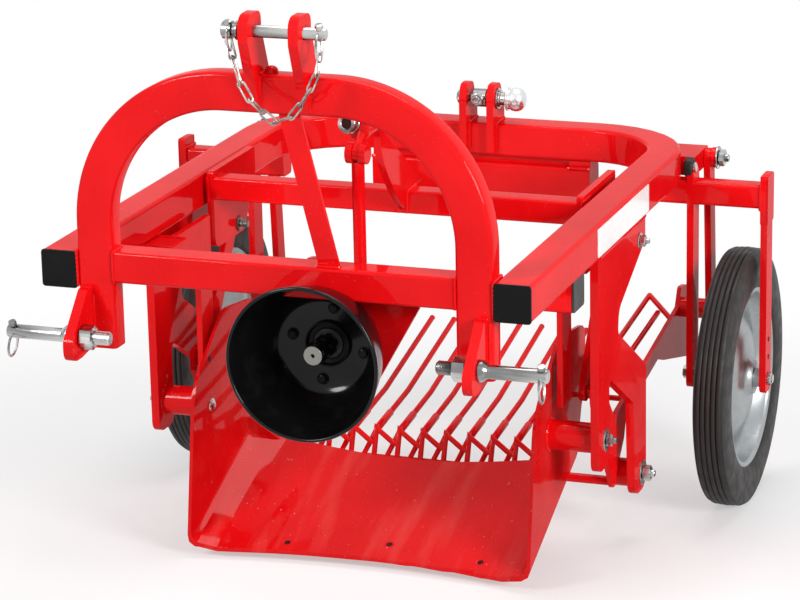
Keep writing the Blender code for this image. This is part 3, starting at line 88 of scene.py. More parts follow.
CAMERA_PLACE = Vector((1.8035, -4.4965, 1.3665))
CAMERA_AHEAD = Vector((-0.3234, 0.9033, -0.2819))
CAMERA_RIGHT = Vector((0.9433, 0.3315, -0.0201))
CAMERA_FOCUS_PX = 3307
CAMERA_REACH = 80
PHOTO_WIDTH_PX = 800
SENSOR_MM = 36

camera_data = bpy.data.cameras.new("camera")
camera_data.sensor_width = SENSOR_MM
camera_data.lens = CAMERA_FOCUS_PX * SENSOR_MM / PHOTO_WIDTH_PX
camera = bpy.data.objects.new("camera", camera_data)
bpy.context.scene.collection.objects.link(camera)
back = -(TURN @ CAMERA_AHEAD).normalized()
right = TURN @ CAMERA_RIGHT
right = (right - back * right.dot(back)).normalized()
up = back.cross(right)
axes = Matrix((right, up, back)).transposed()
camera.matrix_world = Matrix.Translation(at(*CAMERA_PLACE)) @ axes.to_4x4()
camera_data.clip_end = CAMERA_REACH
bpy.context.scene.camera = camera

# Light and backdrop

WORLD_LIGHT, WORLD_SEEN = 0.25, 1.0

bpy.context.scene.view_settings.view_transform = "Standard"
world = bpy.data.worlds.new("studio")
bpy.context.scene.world = world
world.use_nodes = True


def white_when_seen(tree, low, high, socket):
    """Sends high to a socket for camera, glossy and transmission rays, and low to the rest."""
    path = tree.nodes.new("ShaderNodeLightPath")
    seen = tree.nodes.new("ShaderNodeMath")
    seen.operation = "MAXIMUM"
    either = tree.nodes.new("ShaderNodeMath")
    either.operation = "MAXIMUM"
    level = tree.nodes.new("ShaderNodeMapRange")
    level.inputs["To Min"].default_value = low
    level.inputs["To Max"].default_value = high
    tree.links.new(path.outputs["Is Camera Ray"], seen.inputs[0])
    tree.links.new(path.outputs["Is Glossy Ray"], seen.inputs[1])
    tree.links.new(seen.outputs[0], either.inputs[0])
    tree.links.new(path.outputs["Is Transmission Ray"], either.inputs[1])
    tree.links.new(either.outputs[0], level.inputs["Value"])
    tree.links.new(level.outputs["Result"], socket)


background = world.node_tree.nodes["Background"]
background.inputs["Color"].default_value = (1, 1, 1, 1)
white_when_seen(world.node_tree, WORLD_LIGHT, WORLD_SEEN, background.inputs["Strength"])

Lamp = namedtuple("Lamp", "name place size power")
LAMPS = (
    Lamp("key_lamp", (-2.2, -3.4, 2.6), 1.4, 110),
    Lamp("fill_lamp", (3.6, -2.2, 1.8), 1.6, 142),
    Lamp("top_lamp", (0.2, 0.8, 4.0), 2.4, 60),
)
LAMP_TARGET = Vector((0, 0, 0.3))
for lamp in LAMPS:
    data = bpy.data.lights.new(lamp.name, "AREA")
    data.shape = "DISK"
    data.size = lamp.size
    data.energy = lamp.power
    obj = bpy.data.objects.new(lamp.name, data)
    bpy.context.scene.collection.objects.link(obj)
    obj.location = lamp.place
    obj.rotation_mode = "QUATERNION"
    obj.rotation_quaternion = (Vector(lamp.place) - LAMP_TARGET).to_track_quat("Z", "Y")


# Materials. Noise scales are per metre, because every pattern lies in the object's own space.


class Look:
    """A Principled material with helpers that add procedural variation to it."""

    def __init__(self, name, colour, roughness, metallic=0.0):
        self.material = bpy.data.materials.new(name)
        self.material.use_nodes = True
        self.tree = self.material.node_tree
        self.shader = self.tree.nodes["Principled BSDF"]
        self.shader.inputs["Base Color"].default_value = (*colour, 1)
        self.shader.inputs["Roughness"].default_value = roughness
        self.shader.inputs["Metallic"].default_value = metallic
        self.bump = None
        self.spot = self.tree.nodes.new("ShaderNodeTexCoord").outputs["Object"]

    def noise(self, scale, detail=4.0, stretch=(1, 1, 1)):
        """Cloudy values about 0.5; a small stretch factor draws them out along that axis."""
        mapping = self.tree.nodes.new("ShaderNodeMapping")
        mapping.inputs["Scale"].default_value = stretch
        self.tree.links.new(self.spot, mapping.inputs["Vector"])
        node = self.tree.nodes.new("ShaderNodeTexNoise")
        node.inputs["Scale"].default_value = scale
        node.inputs["Detail"].default_value = detail
        self.tree.links.new(mapping.outputs["Vector"], node.inputs["Vector"])
        return node.outputs["Fac"]

    def cells(self, scale, output="Distance"):
        node = self.tree.nodes.new("ShaderNodeTexVoronoi")
        node.inputs["Scale"].default_value = scale
        self.tree.links.new(self.spot, node.inputs["Vector"])
        return node.outputs[output]

    def level(self, value, low, high, start=0.3, end=0.7):
        """Brings values from start to end to the range from low to high."""
        node = self.tree.nodes.new("ShaderNodeMapRange")
        node.inputs["From Min"].default_value = start
        node.inputs["From Max"].default_value = end
        node.inputs["To Min"].default_value = low
        node.inputs["To Max"].default_value = high
        self.tree.links.new(value, node.inputs["Value"])
        return node.outputs["Result"]

    def mix(self, share, first, second):
        """Blends two colours, each of them fixed or a socket, by a share from 0 to 1."""
        node = self.tree.nodes.new("ShaderNodeMix")
        node.data_type = "RGBA"
        self.tree.links.new(share, node.inputs[0])
        colour_sockets = node.inputs[6], node.inputs[7]
        for value, socket in zip((first, second), colour_sockets):
            if isinstance(value, tuple):
                socket.default_value = (*value, 1)
            else:
                self.tree.links.new(value, socket)
        return node.outputs[2]

    def paint(self, colour):
        self.tree.links.new(colour, self.shader.inputs["Base Color"])

    def shine(self, roughness):
        self.tree.links.new(roughness, self.shader.inputs["Roughness"])

    def relief(self, height, strength, distance):
        """Adds a bump on top of those there already."""
        node = self.tree.nodes.new("ShaderNodeBump")
        node.inputs["Strength"].default_value = strength
        node.inputs["Distance"].default_value = distance
        self.tree.links.new(height, node.inputs["Height"])
        if self.bump is not None:
            self.tree.links.new(self.bump, node.inputs["Normal"])
        self.bump = node.outputs["Normal"]
        self.tree.links.new(self.bump, self.shader.inputs["Normal"])

    def coat(self, weight, roughness):
        self.shader.inputs["Coat Weight"].default_value = weight
        self.shader.inputs["Coat Roughness"].default_value = roughness


RED = (0.80, 0.004, 0.006)
RED_DEEP = (0.72, 0.002, 0.004)
RED_PALE = (0.84, 0.007, 0.009)
RED_SPECK, RED_STREAK, RED_CHIP = (0.78, 0.22, 0.20), (0.70, 0.13, 0.11), (0.46, 0.20, 0.17)
PAINT_IOR = 1.03  # almost no gloss of its own, so that it all comes from the thin clear coat
PAINT_COAT, PAINT_COAT_ROUGHNESS = 0.28, 0.04


def powder_coat(name, scuffed=0.0, shade=1.0):
    """Gloss powder coat: orange peel, slow shifts of tone, pin specks, scuffs if asked, and painted
    shade when shade is below 1.
    """
    look = Look(name, RED, 0.26)
    # A shade below 1 darkens the deep and pale tones: painted shade
    deep, pale = (tuple(part * shade for part in red) for red in (RED_DEEP, RED_PALE))
    tone = look.mix(look.level(look.noise(7, 5), 0, 1), deep, pale)
    speck = look.level(look.noise(420, 1), 0, 0.6, 0.74, 0.80)
    tone = look.mix(speck, tone, RED_SPECK)
    if scuffed:
        streak = look.level(look.noise(26, 6, (1.0, 0.16, 0.16)), 0, scuffed, 0.52, 0.74)
        tone = look.mix(streak, tone, RED_STREAK)
        chip = look.level(look.noise(150, 2), 0, 0.8, 0.72, 0.75)
        tone = look.mix(chip, tone, RED_CHIP)
    look.paint(tone)
    look.shine(look.level(look.noise(18, 4), 0.20, 0.30 + scuffed * 0.3))
    look.relief(look.noise(620, 2), 0.035, 0.0006)
    look.relief(look.noise(34, 3), 0.05, 0.0012)
    look.shader.inputs["IOR"].default_value = PAINT_IOR
    look.coat(PAINT_COAT, PAINT_COAT_ROUGHNESS)
    return look.material


WARM_FACTORS, BAND_FACTOR = (1.02, 0.95, 0.80), 0.30
ZINC_STAIN = (0.16, 0.16, 0.15)


def plated(name, colour, roughness, warm=0.25):
    """Bright zinc plate: mirror-like, with warm and dark bands, hairline marks and tiny stains."""
    look = Look(name, colour, roughness, 1.0)
    warm_tone = tuple(part * factor for part, factor in zip(colour, WARM_FACTORS))
    tone = look.mix(look.level(look.noise(60, 5), 0, warm), colour, warm_tone)
    band = look.level(look.noise(58, 2, (0.10, 1, 1)), 0, 0.85, 0.44, 0.62)
    tone = look.mix(band, tone, tuple(part * BAND_FACTOR for part in colour))
    tone = look.mix(look.level(look.noise(240, 3), 0, 0.5, 0.62, 0.74), tone, ZINC_STAIN)
    look.paint(tone)
    look.shine(look.level(look.noise(130, 5, (0.3, 1, 1)), roughness * 0.7, roughness * 1.5))
    look.relief(look.noise(900, 2), 0.06, 0.0003)
    return look.material


def galvanised_sheet():
    """Spangled zinc sheet with dull patches."""
    look = Look("galvanised_sheet", (0.60, 0.62, 0.63), 0.34, 0.92)
    spangle = look.level(look.cells(120, "Color"), 0, 1, 0.0, 1.0)
    tone = look.mix(spangle, (0.36, 0.385, 0.395), (0.44, 0.46, 0.47))
    tone = look.mix(look.level(look.noise(9, 4), 0, 0.55), tone, (0.27, 0.29, 0.30))
    look.paint(tone)
    look.shine(look.level(look.noise(14, 4), 0.30, 0.42))
    look.relief(look.noise(240, 3), 0.03, 0.0005)
    return look.material


SPECULAR_PER_GLOSS = 1.6


def black_moulding(name, roughness, tone, gloss=0.10):
    """Dark plastic or rubber with fine dust and a thin gloss coat."""
    look = Look(name, tone, roughness)
    dust = look.level(look.noise(38, 6), 0, 0.30, 0.50, 0.80)
    look.paint(look.mix(dust, tone, tuple(0.014 + part for part in tone)))
    look.shine(look.level(look.noise(22, 4), roughness * 0.75, roughness * 1.5))
    look.relief(look.noise(700, 2), 0.06, 0.0004)
    look.shader.inputs["Specular IOR Level"].default_value = gloss * SPECULAR_PER_GLOSS
    look.coat(gloss, 0.08)
    return look.material


def tyre_rubber():
    """Dark rubber with dusty stretches round the wheel and a few pale specks."""
    look = Look("tyre_rubber", (0.022, 0.020, 0.019), 0.55)
    dust = look.level(look.noise(24, 6, (3, 1, 1)), 0, 0.50, 0.50, 0.80)
    tone = look.mix(dust, (0.016, 0.0140, 0.0135), (0.036, 0.030, 0.028))
    speck = look.level(look.noise(330, 2), 0, 0.5, 0.70, 0.76)
    tone = look.mix(speck, tone, (0.12, 0.105, 0.095))
    look.paint(tone)
    look.shader.inputs["Specular IOR Level"].default_value = 0.34
    look.shine(look.level(look.noise(50, 4), 0.46, 0.70))
    look.relief(look.noise(520, 4), 0.16, 0.0006)
    return look.material


def bare_steel(name, colour, roughness):
    """Turned steel with tool marks and a little rust in patches."""
    look = Look(name, colour, roughness, 1.0)
    rust = look.level(look.noise(55, 6), 0, 0.6, 0.60, 0.82)
    look.paint(look.mix(rust, colour, (0.20, 0.12, 0.08)))
    look.shine(look.level(look.noise(90, 5, (1, 6, 1)), roughness * 0.8, roughness * 1.4))
    look.relief(look.noise(520, 3, (1, 5, 1)), 0.10, 0.0004)
    return look.material


def blank_film():
    """The white film of a label with nothing printed on it."""
    look = Look("blank_film", (0.96, 0.96, 0.95), 0.24)
    cloud = look.level(look.noise(12, 4), 0, 1)
    look.paint(look.mix(cloud, (0.955, 0.955, 0.945), (0.98, 0.98, 0.975)))
    look.shine(look.level(look.noise(60, 4), 0.18, 0.32))
    look.relief(look.noise(60, 2), 0.01, 0.0002)
    look.coat(0.2, 0.06)
    return look.material


# Each look's material, and the looks that go with the CAD's material slots

LOOKS = {
    "paint": powder_coat("powder_coat"),
    # The share's coat: real streaks and chips, and its red darkened to 0.80 as painted shade
    "paint_scuffed_and_shaded": powder_coat("powder_coat_scuffed_and_shaded", 0.25, 0.80),
    "weld": powder_coat("powder_coat_weld"),
    "zinc": plated("zinc_plate", (0.56, 0.57, 0.57), 0.20),
    "chain": plated("chain_plate", (0.58, 0.57, 0.54), 0.22, 0.5),
    "galvanised": galvanised_sheet(),
    "guard": black_moulding("guard_moulding", 0.14, (0.004, 0.004, 0.0045)),
    "cap": black_moulding("cap_moulding", 0.34, (0.005, 0.005, 0.0052), 0.05),
    "stub_cap": black_moulding("stub_cap_moulding", 0.38, (0.046, 0.042, 0.042)),
    "spacer": black_moulding("spacer_rubber", 0.5, (0.018, 0.017, 0.017)),
    "rubber": tyre_rubber(),
    "steel": bare_steel("machined_steel", (0.26, 0.25, 0.23), 0.36),
    # Near black on the splined shaft: dark grease, and painted shade for the shaft inside the guard
    "greased": bare_steel("greased_steel_painted_shade", (0.030, 0.028, 0.026), 0.40),
    "dark_nut": bare_steel("dark_nut", (0.16, 0.15, 0.14), 0.34),
    "dome": bare_steel("dome_steel", (0.74, 0.76, 0.77), 0.26),
    "hole": black_moulding("bore_shade", 0.7, (0.030, 0.006, 0.006)),
    "film": blank_film(),
}
CAD_LOOK = {
    "red_paint": "paint",
    "zinc": "zinc",
    "galvanised": "galvanised",
    "black_plastic": "cap",
    "rubber": "rubber",
    "worn_steel": "steel",
}
NODE_LOOK = {"share": "paint_scuffed_and_shaded"}

# The CAD's own nodes: looks, rolled edges and smooth curves

EDGE_ROLL = {"main_frame": 0.0015, "sieve_bars": 0.0, "share": 0.0016}
EDGE_ROLL_DEFAULT = 0.0012
SHARP_EDGE = math.radians(34)
ROLL_SEGMENTS = 2
WELD_GAP = 0.00001
NORMAL_WEIGHT = 80


def roll_edges(obj, width):
    """Rounds the sharp edges of an object."""
    bevel = obj.modifiers.new("edge_roll", "BEVEL")
    bevel.width = width
    bevel.segments = ROLL_SEGMENTS
    bevel.limit_method = "ANGLE"
    bevel.angle_limit = SHARP_EDGE


for name, node in frame["nodes"].items():
    slot = node.data.materials[0].name.split(".")[0] if node.data.materials else "red_paint"
    node.data.materials.clear()
    node.data.materials.append(LOOKS[NODE_LOOK.get(name, CAD_LOOK.get(slot, "paint"))])
    weld = node.modifiers.new("weld", "WELD")
    weld.merge_threshold = WELD_GAP
    width = EDGE_ROLL.get(name, EDGE_ROLL_DEFAULT)
    if width:
        roll_edges(node, width)
    node.data.shade_smooth()
    normals = node.modifiers.new("normals", "WEIGHTED_NORMAL")
    normals.keep_sharp = True
    normals.weight = NORMAL_WEIGHT


# Building helpers, all in the machine's own frame

DIRECTIONS = {"x": Vector((1, 0, 0)), "y": Vector((0, 1, 0)), "z": Vector((0, 0, 1))}


def mesh_object(name, bm):
    mesh = bpy.data.meshes.new(name)
    bmesh.ops.recalc_face_normals(bm, faces=bm.faces)
    bm.to_mesh(mesh)
    bm.free()
    obj = bpy.data.objects.new(name, mesh)
    bpy.context.scene.collection.objects.link(obj)
    return obj


def piece(name, bm, look, body="chassis", replaces=(), roll=0.0, smooth_below=SHARP_EDGE):
    """Makes a dressed object of a mesh drawn in the machine's frame, and lets it ride on a body."""
    bm.transform(PLACE)
    obj = mesh_object(name, bm)
    obj.data.materials.append(LOOKS[look])
    obj.data.shade_smooth()
    obj.data.set_sharp_from_angle(angle=smooth_below)
    if roll:
        roll_edges(obj, roll)
    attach(obj, body)
    if replaces:
        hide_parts(*replaces)
    return obj


def basis(direction, towards=None):
    """The direction and two more across it, the first of them as near as can be to towards."""
    ahead = DIRECTIONS[direction] if isinstance(direction, str) else Vector(direction).normalized()
    side = Vector(towards) if towards else ahead.orthogonal()
    side = (side - ahead * side.dot(ahead)).normalized()
    return ahead, side, ahead.cross(side)


def lathe(bm, profile, direction, centre, steps=40, towards=None):
    """Turns (radius, along) pairs about an axis; the profile closes on itself or at radius 0."""
    ahead, side, other = basis(direction, towards)
    centre = Vector(centre)
    rows = []
    for radius, along in profile:
        middle = centre + ahead * along
        if radius == 0:
            rows.append([bm.verts.new(middle)])
            continue
        row = []
        for step in range(steps):
            angle = math.tau * step / steps
            spoke = side * math.cos(angle) + other * math.sin(angle)
            row.append(bm.verts.new(middle + spoke * radius))
        rows.append(row)
    if profile[0][0] != 0:
        rows.append(rows[0])
    for first, second in zip(rows, rows[1:]):
        for step in range(steps):
            corner = (step + 1) % steps
            if len(first) == 1:
                bm.faces.new((first[0], second[corner], second[step]))
            elif len(second) == 1:
                bm.faces.new((first[step], first[corner], second[0]))
            else:
                bm.faces.new((first[step], first[corner], second[corner], second[step]))


HEXAGON_CHAMFER, HEXAGON_FACE = 0.07, 0.93
RING_SOFTENING = 0.18


def hexagon(bm, across, low, high, direction, centre, bore=0.0, towards=None):
    """A hexagon head or nut with turned chamfers on both ends."""
    corner = across / math.sqrt(3)
    chamfer = across * HEXAGON_CHAMFER
    face = across / 2 * HEXAGON_FACE
    profile = [(bore, low), (face, low), (corner, low + chamfer)]
    profile += [(corner, high - chamfer), (face, high), (bore, high)]
    lathe(bm, profile, direction, centre, 6, towards)


def ring(bm, inner, outer, low, high, direction, centre, steps=40):
    """A washer or collar with softened edges."""
    soft = min(outer - inner, high - low) * RING_SOFTENING
    profile = [
        (inner, low + soft),
        (inner + soft, low),
        (outer - soft, low),
        (outer, low + soft),
        (outer, high - soft),
        (outer - soft, high),
        (inner + soft, high),
        (inner, high - soft),
    ]
    lathe(bm, profile, direction, centre, steps)


def bridge(bm, rows, capped=True):
    """Joins rows of as many corners each with faces, and closes both ends if asked."""
    for first, second in zip(rows, rows[1:]):
        for step in range(len(first)):
            corner = (step + 1) % len(first)
            bm.faces.new((first[step], first[corner], second[corner], second[step]))
    if capped:
        bm.faces.new(rows[0])
        bm.faces.new(reversed(rows[-1]))


def tube(bm, points, radius, sides=10, closed=False, ripple=0.0):
    """A round section along a path, with beads when it ripples."""
    points = [Vector(point) for point in points]
    count = len(points)
    rows = []
    side = None
    for index, point in enumerate(points):
        before = points[(index - 1) % count] if closed or index else point
        after = points[(index + 1) % count] if closed or index < count - 1 else point
        ahead = (after - before).normalized()
        side = ahead.orthogonal() if side is None else side
        side = (side - ahead * side.dot(ahead)).normalized()
        other = ahead.cross(side)
        wide = radius * (1 + ripple * (1 if index % 2 else -1))
        row = []
        for step in range(sides):
            angle = math.tau * step / sides
            spoke = side * math.cos(angle) + other * math.sin(angle)
            row.append(bm.verts.new(point + spoke * wide))
        rows.append(row)
    bridge(bm, rows + [rows[0]] if closed else rows, capped=not closed)


def spaced(points, gap):
    """The same path with points a set distance apart."""
    points = [Vector(point) for point in points]
    out = [points[0]]
    for first, second in zip(points, points[1:]):
        steps = max(1, round((second - first).length / gap))
        out += [first.lerp(second, step / steps) for step in range(1, steps + 1)]
    return out


def slab(bm, outline, direction, low, high):
    """An outline across the direction, as (y, z) or (x, -z) pairs, drawn out between two planes."""
    ahead, side, other = basis(direction, (0, 1, 0) if direction == "x" else (1, 0, 0))
    rows = [
        [bm.verts.new(side * u + other * v + ahead * along) for u, v in outline]
        for along in (low, high)
    ]
    bridge(bm, rows)


def rounded_slab(bm, low, high, radius, start, end, steps=5):
    """A sideways plate with rounded corners, from (y, z) low to high, between two x planes."""
    corners = (
        (high[0] - radius, high[1] - radius, 0),
        (low[0] + radius, high[1] - radius, 90),
        (low[0] + radius, low[1] + radius, 180),
        (high[0] - radius, low[1] + radius, 270),
    )
    outline = []
    for y, z, turn in corners:
        for step in range(steps + 1):
            angle = math.radians(turn + 90 * step / steps)
            outline.append((y + radius * math.cos(angle), z + radius * math.sin(angle)))
    slab(bm, outline, "x", *sorted((start, end)))


def sideways(profile, side):
    """A profile along x for one side of the machine."""
    return [(radius, side * along) for radius, along in profile]


def span(side, low, high):
    """Two places along x for one side of the machine, in order."""
    return sorted((side * low, side * high))


SIDES = (("left", -1), ("right", 1))

# Wheels: ribbed tyres and pressed rims

TYRE_INNER, TYRE_OUTER = 0.465, 0.526
TYRE_RADIUS = 0.2281
RIM_EDGE = 0.158
TREAD_RIBS = 5
TREAD_DEPTH = 0.0035
TREAD_EDGE = 0.13  # share of the width that each rounded shoulder takes
CROWN_DROP = 0.0006
TYRE_STEPS, RIM_STEPS = 120, 96
TYRE_SHARP, RIM_SHARP = math.radians(50), math.radians(44)


def tyre_profile():
    """Radius and place across: a ribbed tread with square shoulders, flat walls and a bead."""
    wide = TYRE_OUTER - TYRE_INNER
    tread_low, tread_high = TYRE_INNER + wide * TREAD_EDGE, TYRE_OUTER - wide * TREAD_EDGE
    pitch = (tread_high - tread_low) / TREAD_RIBS
    rows = [
        (RIM_EDGE - 0.002, TYRE_INNER + 0.010),
        (RIM_EDGE + 0.002, TYRE_INNER + 0.005),
        (RIM_EDGE + 0.008, TYRE_INNER + 0.0025),
        (RIM_EDGE + 0.022, TYRE_INNER + 0.001),
        (TYRE_RADIUS - 0.030, TYRE_INNER + 0.001),
        (TYRE_RADIUS - 0.012, TYRE_INNER + 0.0025),
        (TYRE_RADIUS - 0.004, TYRE_INNER + 0.005),
    ]
    for rib in range(TREAD_RIBS):
        start = tread_low + pitch * rib
        crown = TYRE_RADIUS - CROWN_DROP * abs(rib - (TREAD_RIBS - 1) / 2)
        rows += [
            (crown - TREAD_DEPTH, start),
            (crown - CROWN_DROP, start + pitch * 0.16),
            (crown, start + pitch * 0.34),
            (crown, start + pitch * 0.66),
            (crown - CROWN_DROP, start + pitch * 0.84),
        ]
    rows.append((TYRE_RADIUS - TREAD_DEPTH, tread_high))
    rows += [
        (TYRE_RADIUS - 0.004, TYRE_OUTER - 0.005),
        (TYRE_RADIUS - 0.012, TYRE_OUTER - 0.0025),
        (TYRE_RADIUS - 0.030, TYRE_OUTER - 0.001),
        (RIM_EDGE + 0.022, TYRE_OUTER - 0.001),
        (RIM_EDGE + 0.008, TYRE_OUTER - 0.0025),
        (RIM_EDGE + 0.002, TYRE_OUTER - 0.005),
        (RIM_EDGE - 0.002, TYRE_OUTER - 0.010),
    ]
    return rows


WHEEL_MIDDLE = (TYRE_INNER + TYRE_OUTER) / 2
# The rim's well, dished disc and hub, as radius and place across from the wheel's middle
RIM_SECTION = (
    (0.1590, -0.0235), (0.1590, 0.0235), (0.1550, 0.0250), (0.1510, 0.0230), (0.1490, 0.0180),
    (0.1450, -0.0020), (0.1380, -0.0080), (0.1240, -0.0100), (0.1120, -0.0070), (0.0980, 0.0030),
    (0.0780, 0.0130), (0.0580, 0.0160), (0.0400, 0.0180), (0.0340, 0.0200), (0.0300, 0.0250),
    (0.0285, 0.0300), (0.0170, 0.0305), (0.0165, 0.0400), (0.0106, 0.0400), (0.0106, -0.0400),
    (0.0165, -0.0400), (0.0170, -0.0260), (0.0285, -0.0250), (0.0300, 0.0120), (0.0580, 0.0135),
    (0.0780, 0.0105), (0.0980, 0.0005), (0.1120, -0.0095), (0.1240, -0.0125), (0.1400, -0.0110),
    (0.1480, -0.0190), (0.1520, -0.0235), (0.1550, -0.0250),
)
RIM_PROFILE = [(radius, WHEEL_MIDDLE + along) for radius, along in RIM_SECTION]
AXLE = (0, AXLE_Y, AXLE_Z)
for word, side in SIDES:
    wheel = f"wheel_{word}"
    bm = bmesh.new()
    lathe(bm, sideways(tyre_profile(), side), "x", AXLE, TYRE_STEPS)
    piece(f"ribbed_tyre_{word}", bm, "rubber", wheel, (f"tyre_{word}",), smooth_below=TYRE_SHARP)
    bm = bmesh.new()
    lathe(bm, sideways(RIM_PROFILE, side), "x", AXLE, RIM_STEPS)
    piece(f"pressed_rim_{word}", bm, "galvanised", wheel, (f"rim_{word}",), smooth_below=RIM_SHARP)

# Shaft, guard and its fixings

PTO_X, PTO_Z = 0.058, -0.1305
PTO = Vector((PTO_X, 0, PTO_Z))
SPLINE_ROOT, SPLINE_TIP, SPLINE_SUNK = 0.0145, 0.0172, 0.001
SPLINES, SPLINE_TURN = 6, 0.3
SPLINE_HALF_ROOT, SPLINE_HALF_TIP = 0.0042, 0.0034
SPLINE_SPANS = ((-0.0165, 0.006), (0.018, 0.045))
SHAFT_PROFILE = (
    (0, -0.0160), (0.0026, -0.0160), (0.0040, -0.0200), (0.0125, -0.0200), (SPLINE_ROOT, -0.0178),
    (SPLINE_ROOT, 0.006), (0.0132, 0.009), (0.0132, 0.015), (SPLINE_ROOT, 0.018),
    (SPLINE_ROOT, 0.046), (0.0238, 0.047), (0.0238, 0.262), (0.024, 0.262), (0.024, 0.281),
    (0, 0.281),
)
CRANK_THROW, CRANK_PIN_RADIUS, CRANK_PIN_FRONT = -0.008, 0.0079, 0.279
CHAMFER = 0.001
bm = bmesh.new()
lathe(bm, SHAFT_PROFILE, "y", PTO, 48)
for index in range(SPLINES):
    angle = math.tau * index / SPLINES + SPLINE_TURN
    out = Vector((math.cos(angle), 0, math.sin(angle)))
    over = Vector((-out.z, 0, out.x))
    foot = out * (SPLINE_ROOT - SPLINE_SUNK)
    for start, end in SPLINE_SPANS:
        rows = []
        for along, drop in ((start, 0.0016), (start + 0.002, 0), (end - 0.001, 0), (end, 0.0012)):
            middle = PTO + Vector((0, along, 0))
            tip = out * (SPLINE_TIP - drop)
            corners = (
                foot - over * SPLINE_HALF_ROOT,
                tip - over * SPLINE_HALF_TIP,
                tip + over * SPLINE_HALF_TIP,
                foot + over * SPLINE_HALF_ROOT,
            )
            rows.append([bm.verts.new(middle + corner) for corner in corners])
        bridge(bm, rows)
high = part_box("pto_shaft")[1]
crank_pin_end = (PLACE.inverted() @ Vector(high)).y - CHAMFER
crank_pin = [(0, CRANK_PIN_FRONT), (CRANK_PIN_RADIUS, CRANK_PIN_FRONT)]
crank_pin += [(CRANK_PIN_RADIUS, crank_pin_end - CHAMFER)]
crank_pin += [(CRANK_PIN_RADIUS - 0.0009, crank_pin_end), (0, crank_pin_end)]
lathe(bm, crank_pin, "y", (PTO_X + CRANK_THROW, 0, PTO_Z), 24)
# The shaft's near-black look is dark grease and painted shade
piece("splined_shaft", bm, "greased", "pto_shaft", ("pto_shaft",))
bm = bmesh.new()
ring(bm, 0.0030, 0.0150, -0.0206, -0.0186, "y", PTO, 48)
piece("shaft_end_face", bm, "steel", "pto_shaft")

GUARD_PROFILE = (
    (0.0360, 0.0490), (0.0600, 0.0488), (0.0740, 0.0450), (0.0860, 0.0340), (0.0960, 0.0160),
    (0.1040, -0.0060), (0.1095, -0.0280), (0.1135, -0.0480), (0.1160, -0.0600), (0.1165, -0.0680),
    (0.1172, -0.0705), (0.1185, -0.0716), (0.1200, -0.0718), (0.1216, -0.0710), (0.1225, -0.0695),
    (0.1227, -0.0670), (0.1222, -0.0648), (0.1205, -0.0635), (0.1190, -0.0600), (0.1172, -0.0480),
    (0.1132, -0.0275), (0.1078, -0.0050), (0.1000, 0.0175), (0.0895, 0.0365), (0.0780, 0.0488),
    (0.0700, 0.0526), (0.0360, 0.0528),
)
GUARD_BACK = 0.0485
GUARD_SHARP = math.radians(60)
GUARD_BOLTS, GUARD_BOLT_X, GUARD_BOLT_Z = 4, -0.0579, 0.0107
GUARD_BOLT_RADIUS = 0.0589
WASHER = 0.0018
bm = bmesh.new()
lathe(bm, GUARD_PROFILE, "y", PTO, 96)
piece("guard_bowl", bm, "guard", "chassis", ("pto_guard",), smooth_below=GUARD_SHARP)
bm = bmesh.new()
ring(bm, 0.0335, 0.0362, GUARD_BACK - 0.0070, GUARD_BACK + 0.004, "y", PTO, 64)
ring(bm, 0.0245, 0.0330, GUARD_BACK - 0.0010, GUARD_BACK + 0.004, "y", PTO, 64)
piece("guard_hub_ring", bm, "cap")
bm = bmesh.new()
for index in range(GUARD_BOLTS):
    angle = math.atan2(GUARD_BOLT_Z, GUARD_BOLT_X) + math.tau * index / GUARD_BOLTS
    spot = PTO + GUARD_BOLT_RADIUS * Vector((math.cos(angle), 0, math.sin(angle)))
    ring(bm, 0.003, 0.0095, GUARD_BACK - WASHER, GUARD_BACK, "y", spot, 28)
    hexagon(bm, 0.013, GUARD_BACK - 0.0075, GUARD_BACK - WASHER, "y", spot)
piece("guard_bolts", bm, "cap")

# Hitch pins: threaded end, nut, collar, and a linchpin with its ring

HITCH = Vector((0, -0.045, -0.123))
THREAD_ROOT, THREAD_TIP, THREAD_PITCH = 0.0098, 0.0110, 0.0012
HITCH_PROFILE = [
    (0, 0.2662),
    (0.0085, 0.2664),
    (0.0098, 0.2680),
    *[
        (THREAD_ROOT if step % 2 else THREAD_TIP, 0.2690 + THREAD_PITCH * step)
        for step in range(20)
    ],
    (0.0110, 0.2930),
    (0.0110, 0.3320),
    (0.0170, 0.3325),
    (0.0175, 0.3345),
    (0.0165, 0.3400),
    (0.0125, 0.3450),
    (0.0110, 0.3470),
    (0.0110, 0.4372),
    (0.0098, 0.4396),
    (0, 0.4398),
]
RING_STEPS, RING_HALF_WIDTH, RING_WIRE = 28, 0.0145, 0.0021
LINCHPIN_REACH, TOP_LINCHPIN_REACH = 0.015, 0.012


def linchpin(bm, spot, direction, ring_drop, reach=LINCHPIN_REACH):
    """A pin through a cross hole, with a head on one end and a spring ring hung from it."""
    ahead = basis(direction, (0, -1, 0.2))[0]
    spot = Vector(spot)
    profile = [(0, -reach), (0.0028, -reach + 0.001), (0.0038, -reach + 0.004)]
    profile += [(0.0038, reach - 0.004), (0.0062, reach - 0.003), (0.0066, reach)]
    profile += [(0.0058, reach + 0.004), (0, reach + 0.005)]
    lathe(bm, profile, ahead, spot, 16)
    drop = Vector(ring_drop)
    long_way = drop.normalized()
    cross = long_way.cross(DIRECTIONS["x"]).normalized()
    points = []
    for step in range(RING_STEPS):
        angle = math.tau * step / RING_STEPS
        along = long_way * (drop.length * math.cos(angle))
        points.append(spot + drop + along + cross * (RING_HALF_WIDTH * math.sin(angle)))
    tube(bm, points, RING_WIRE, 8, closed=True)


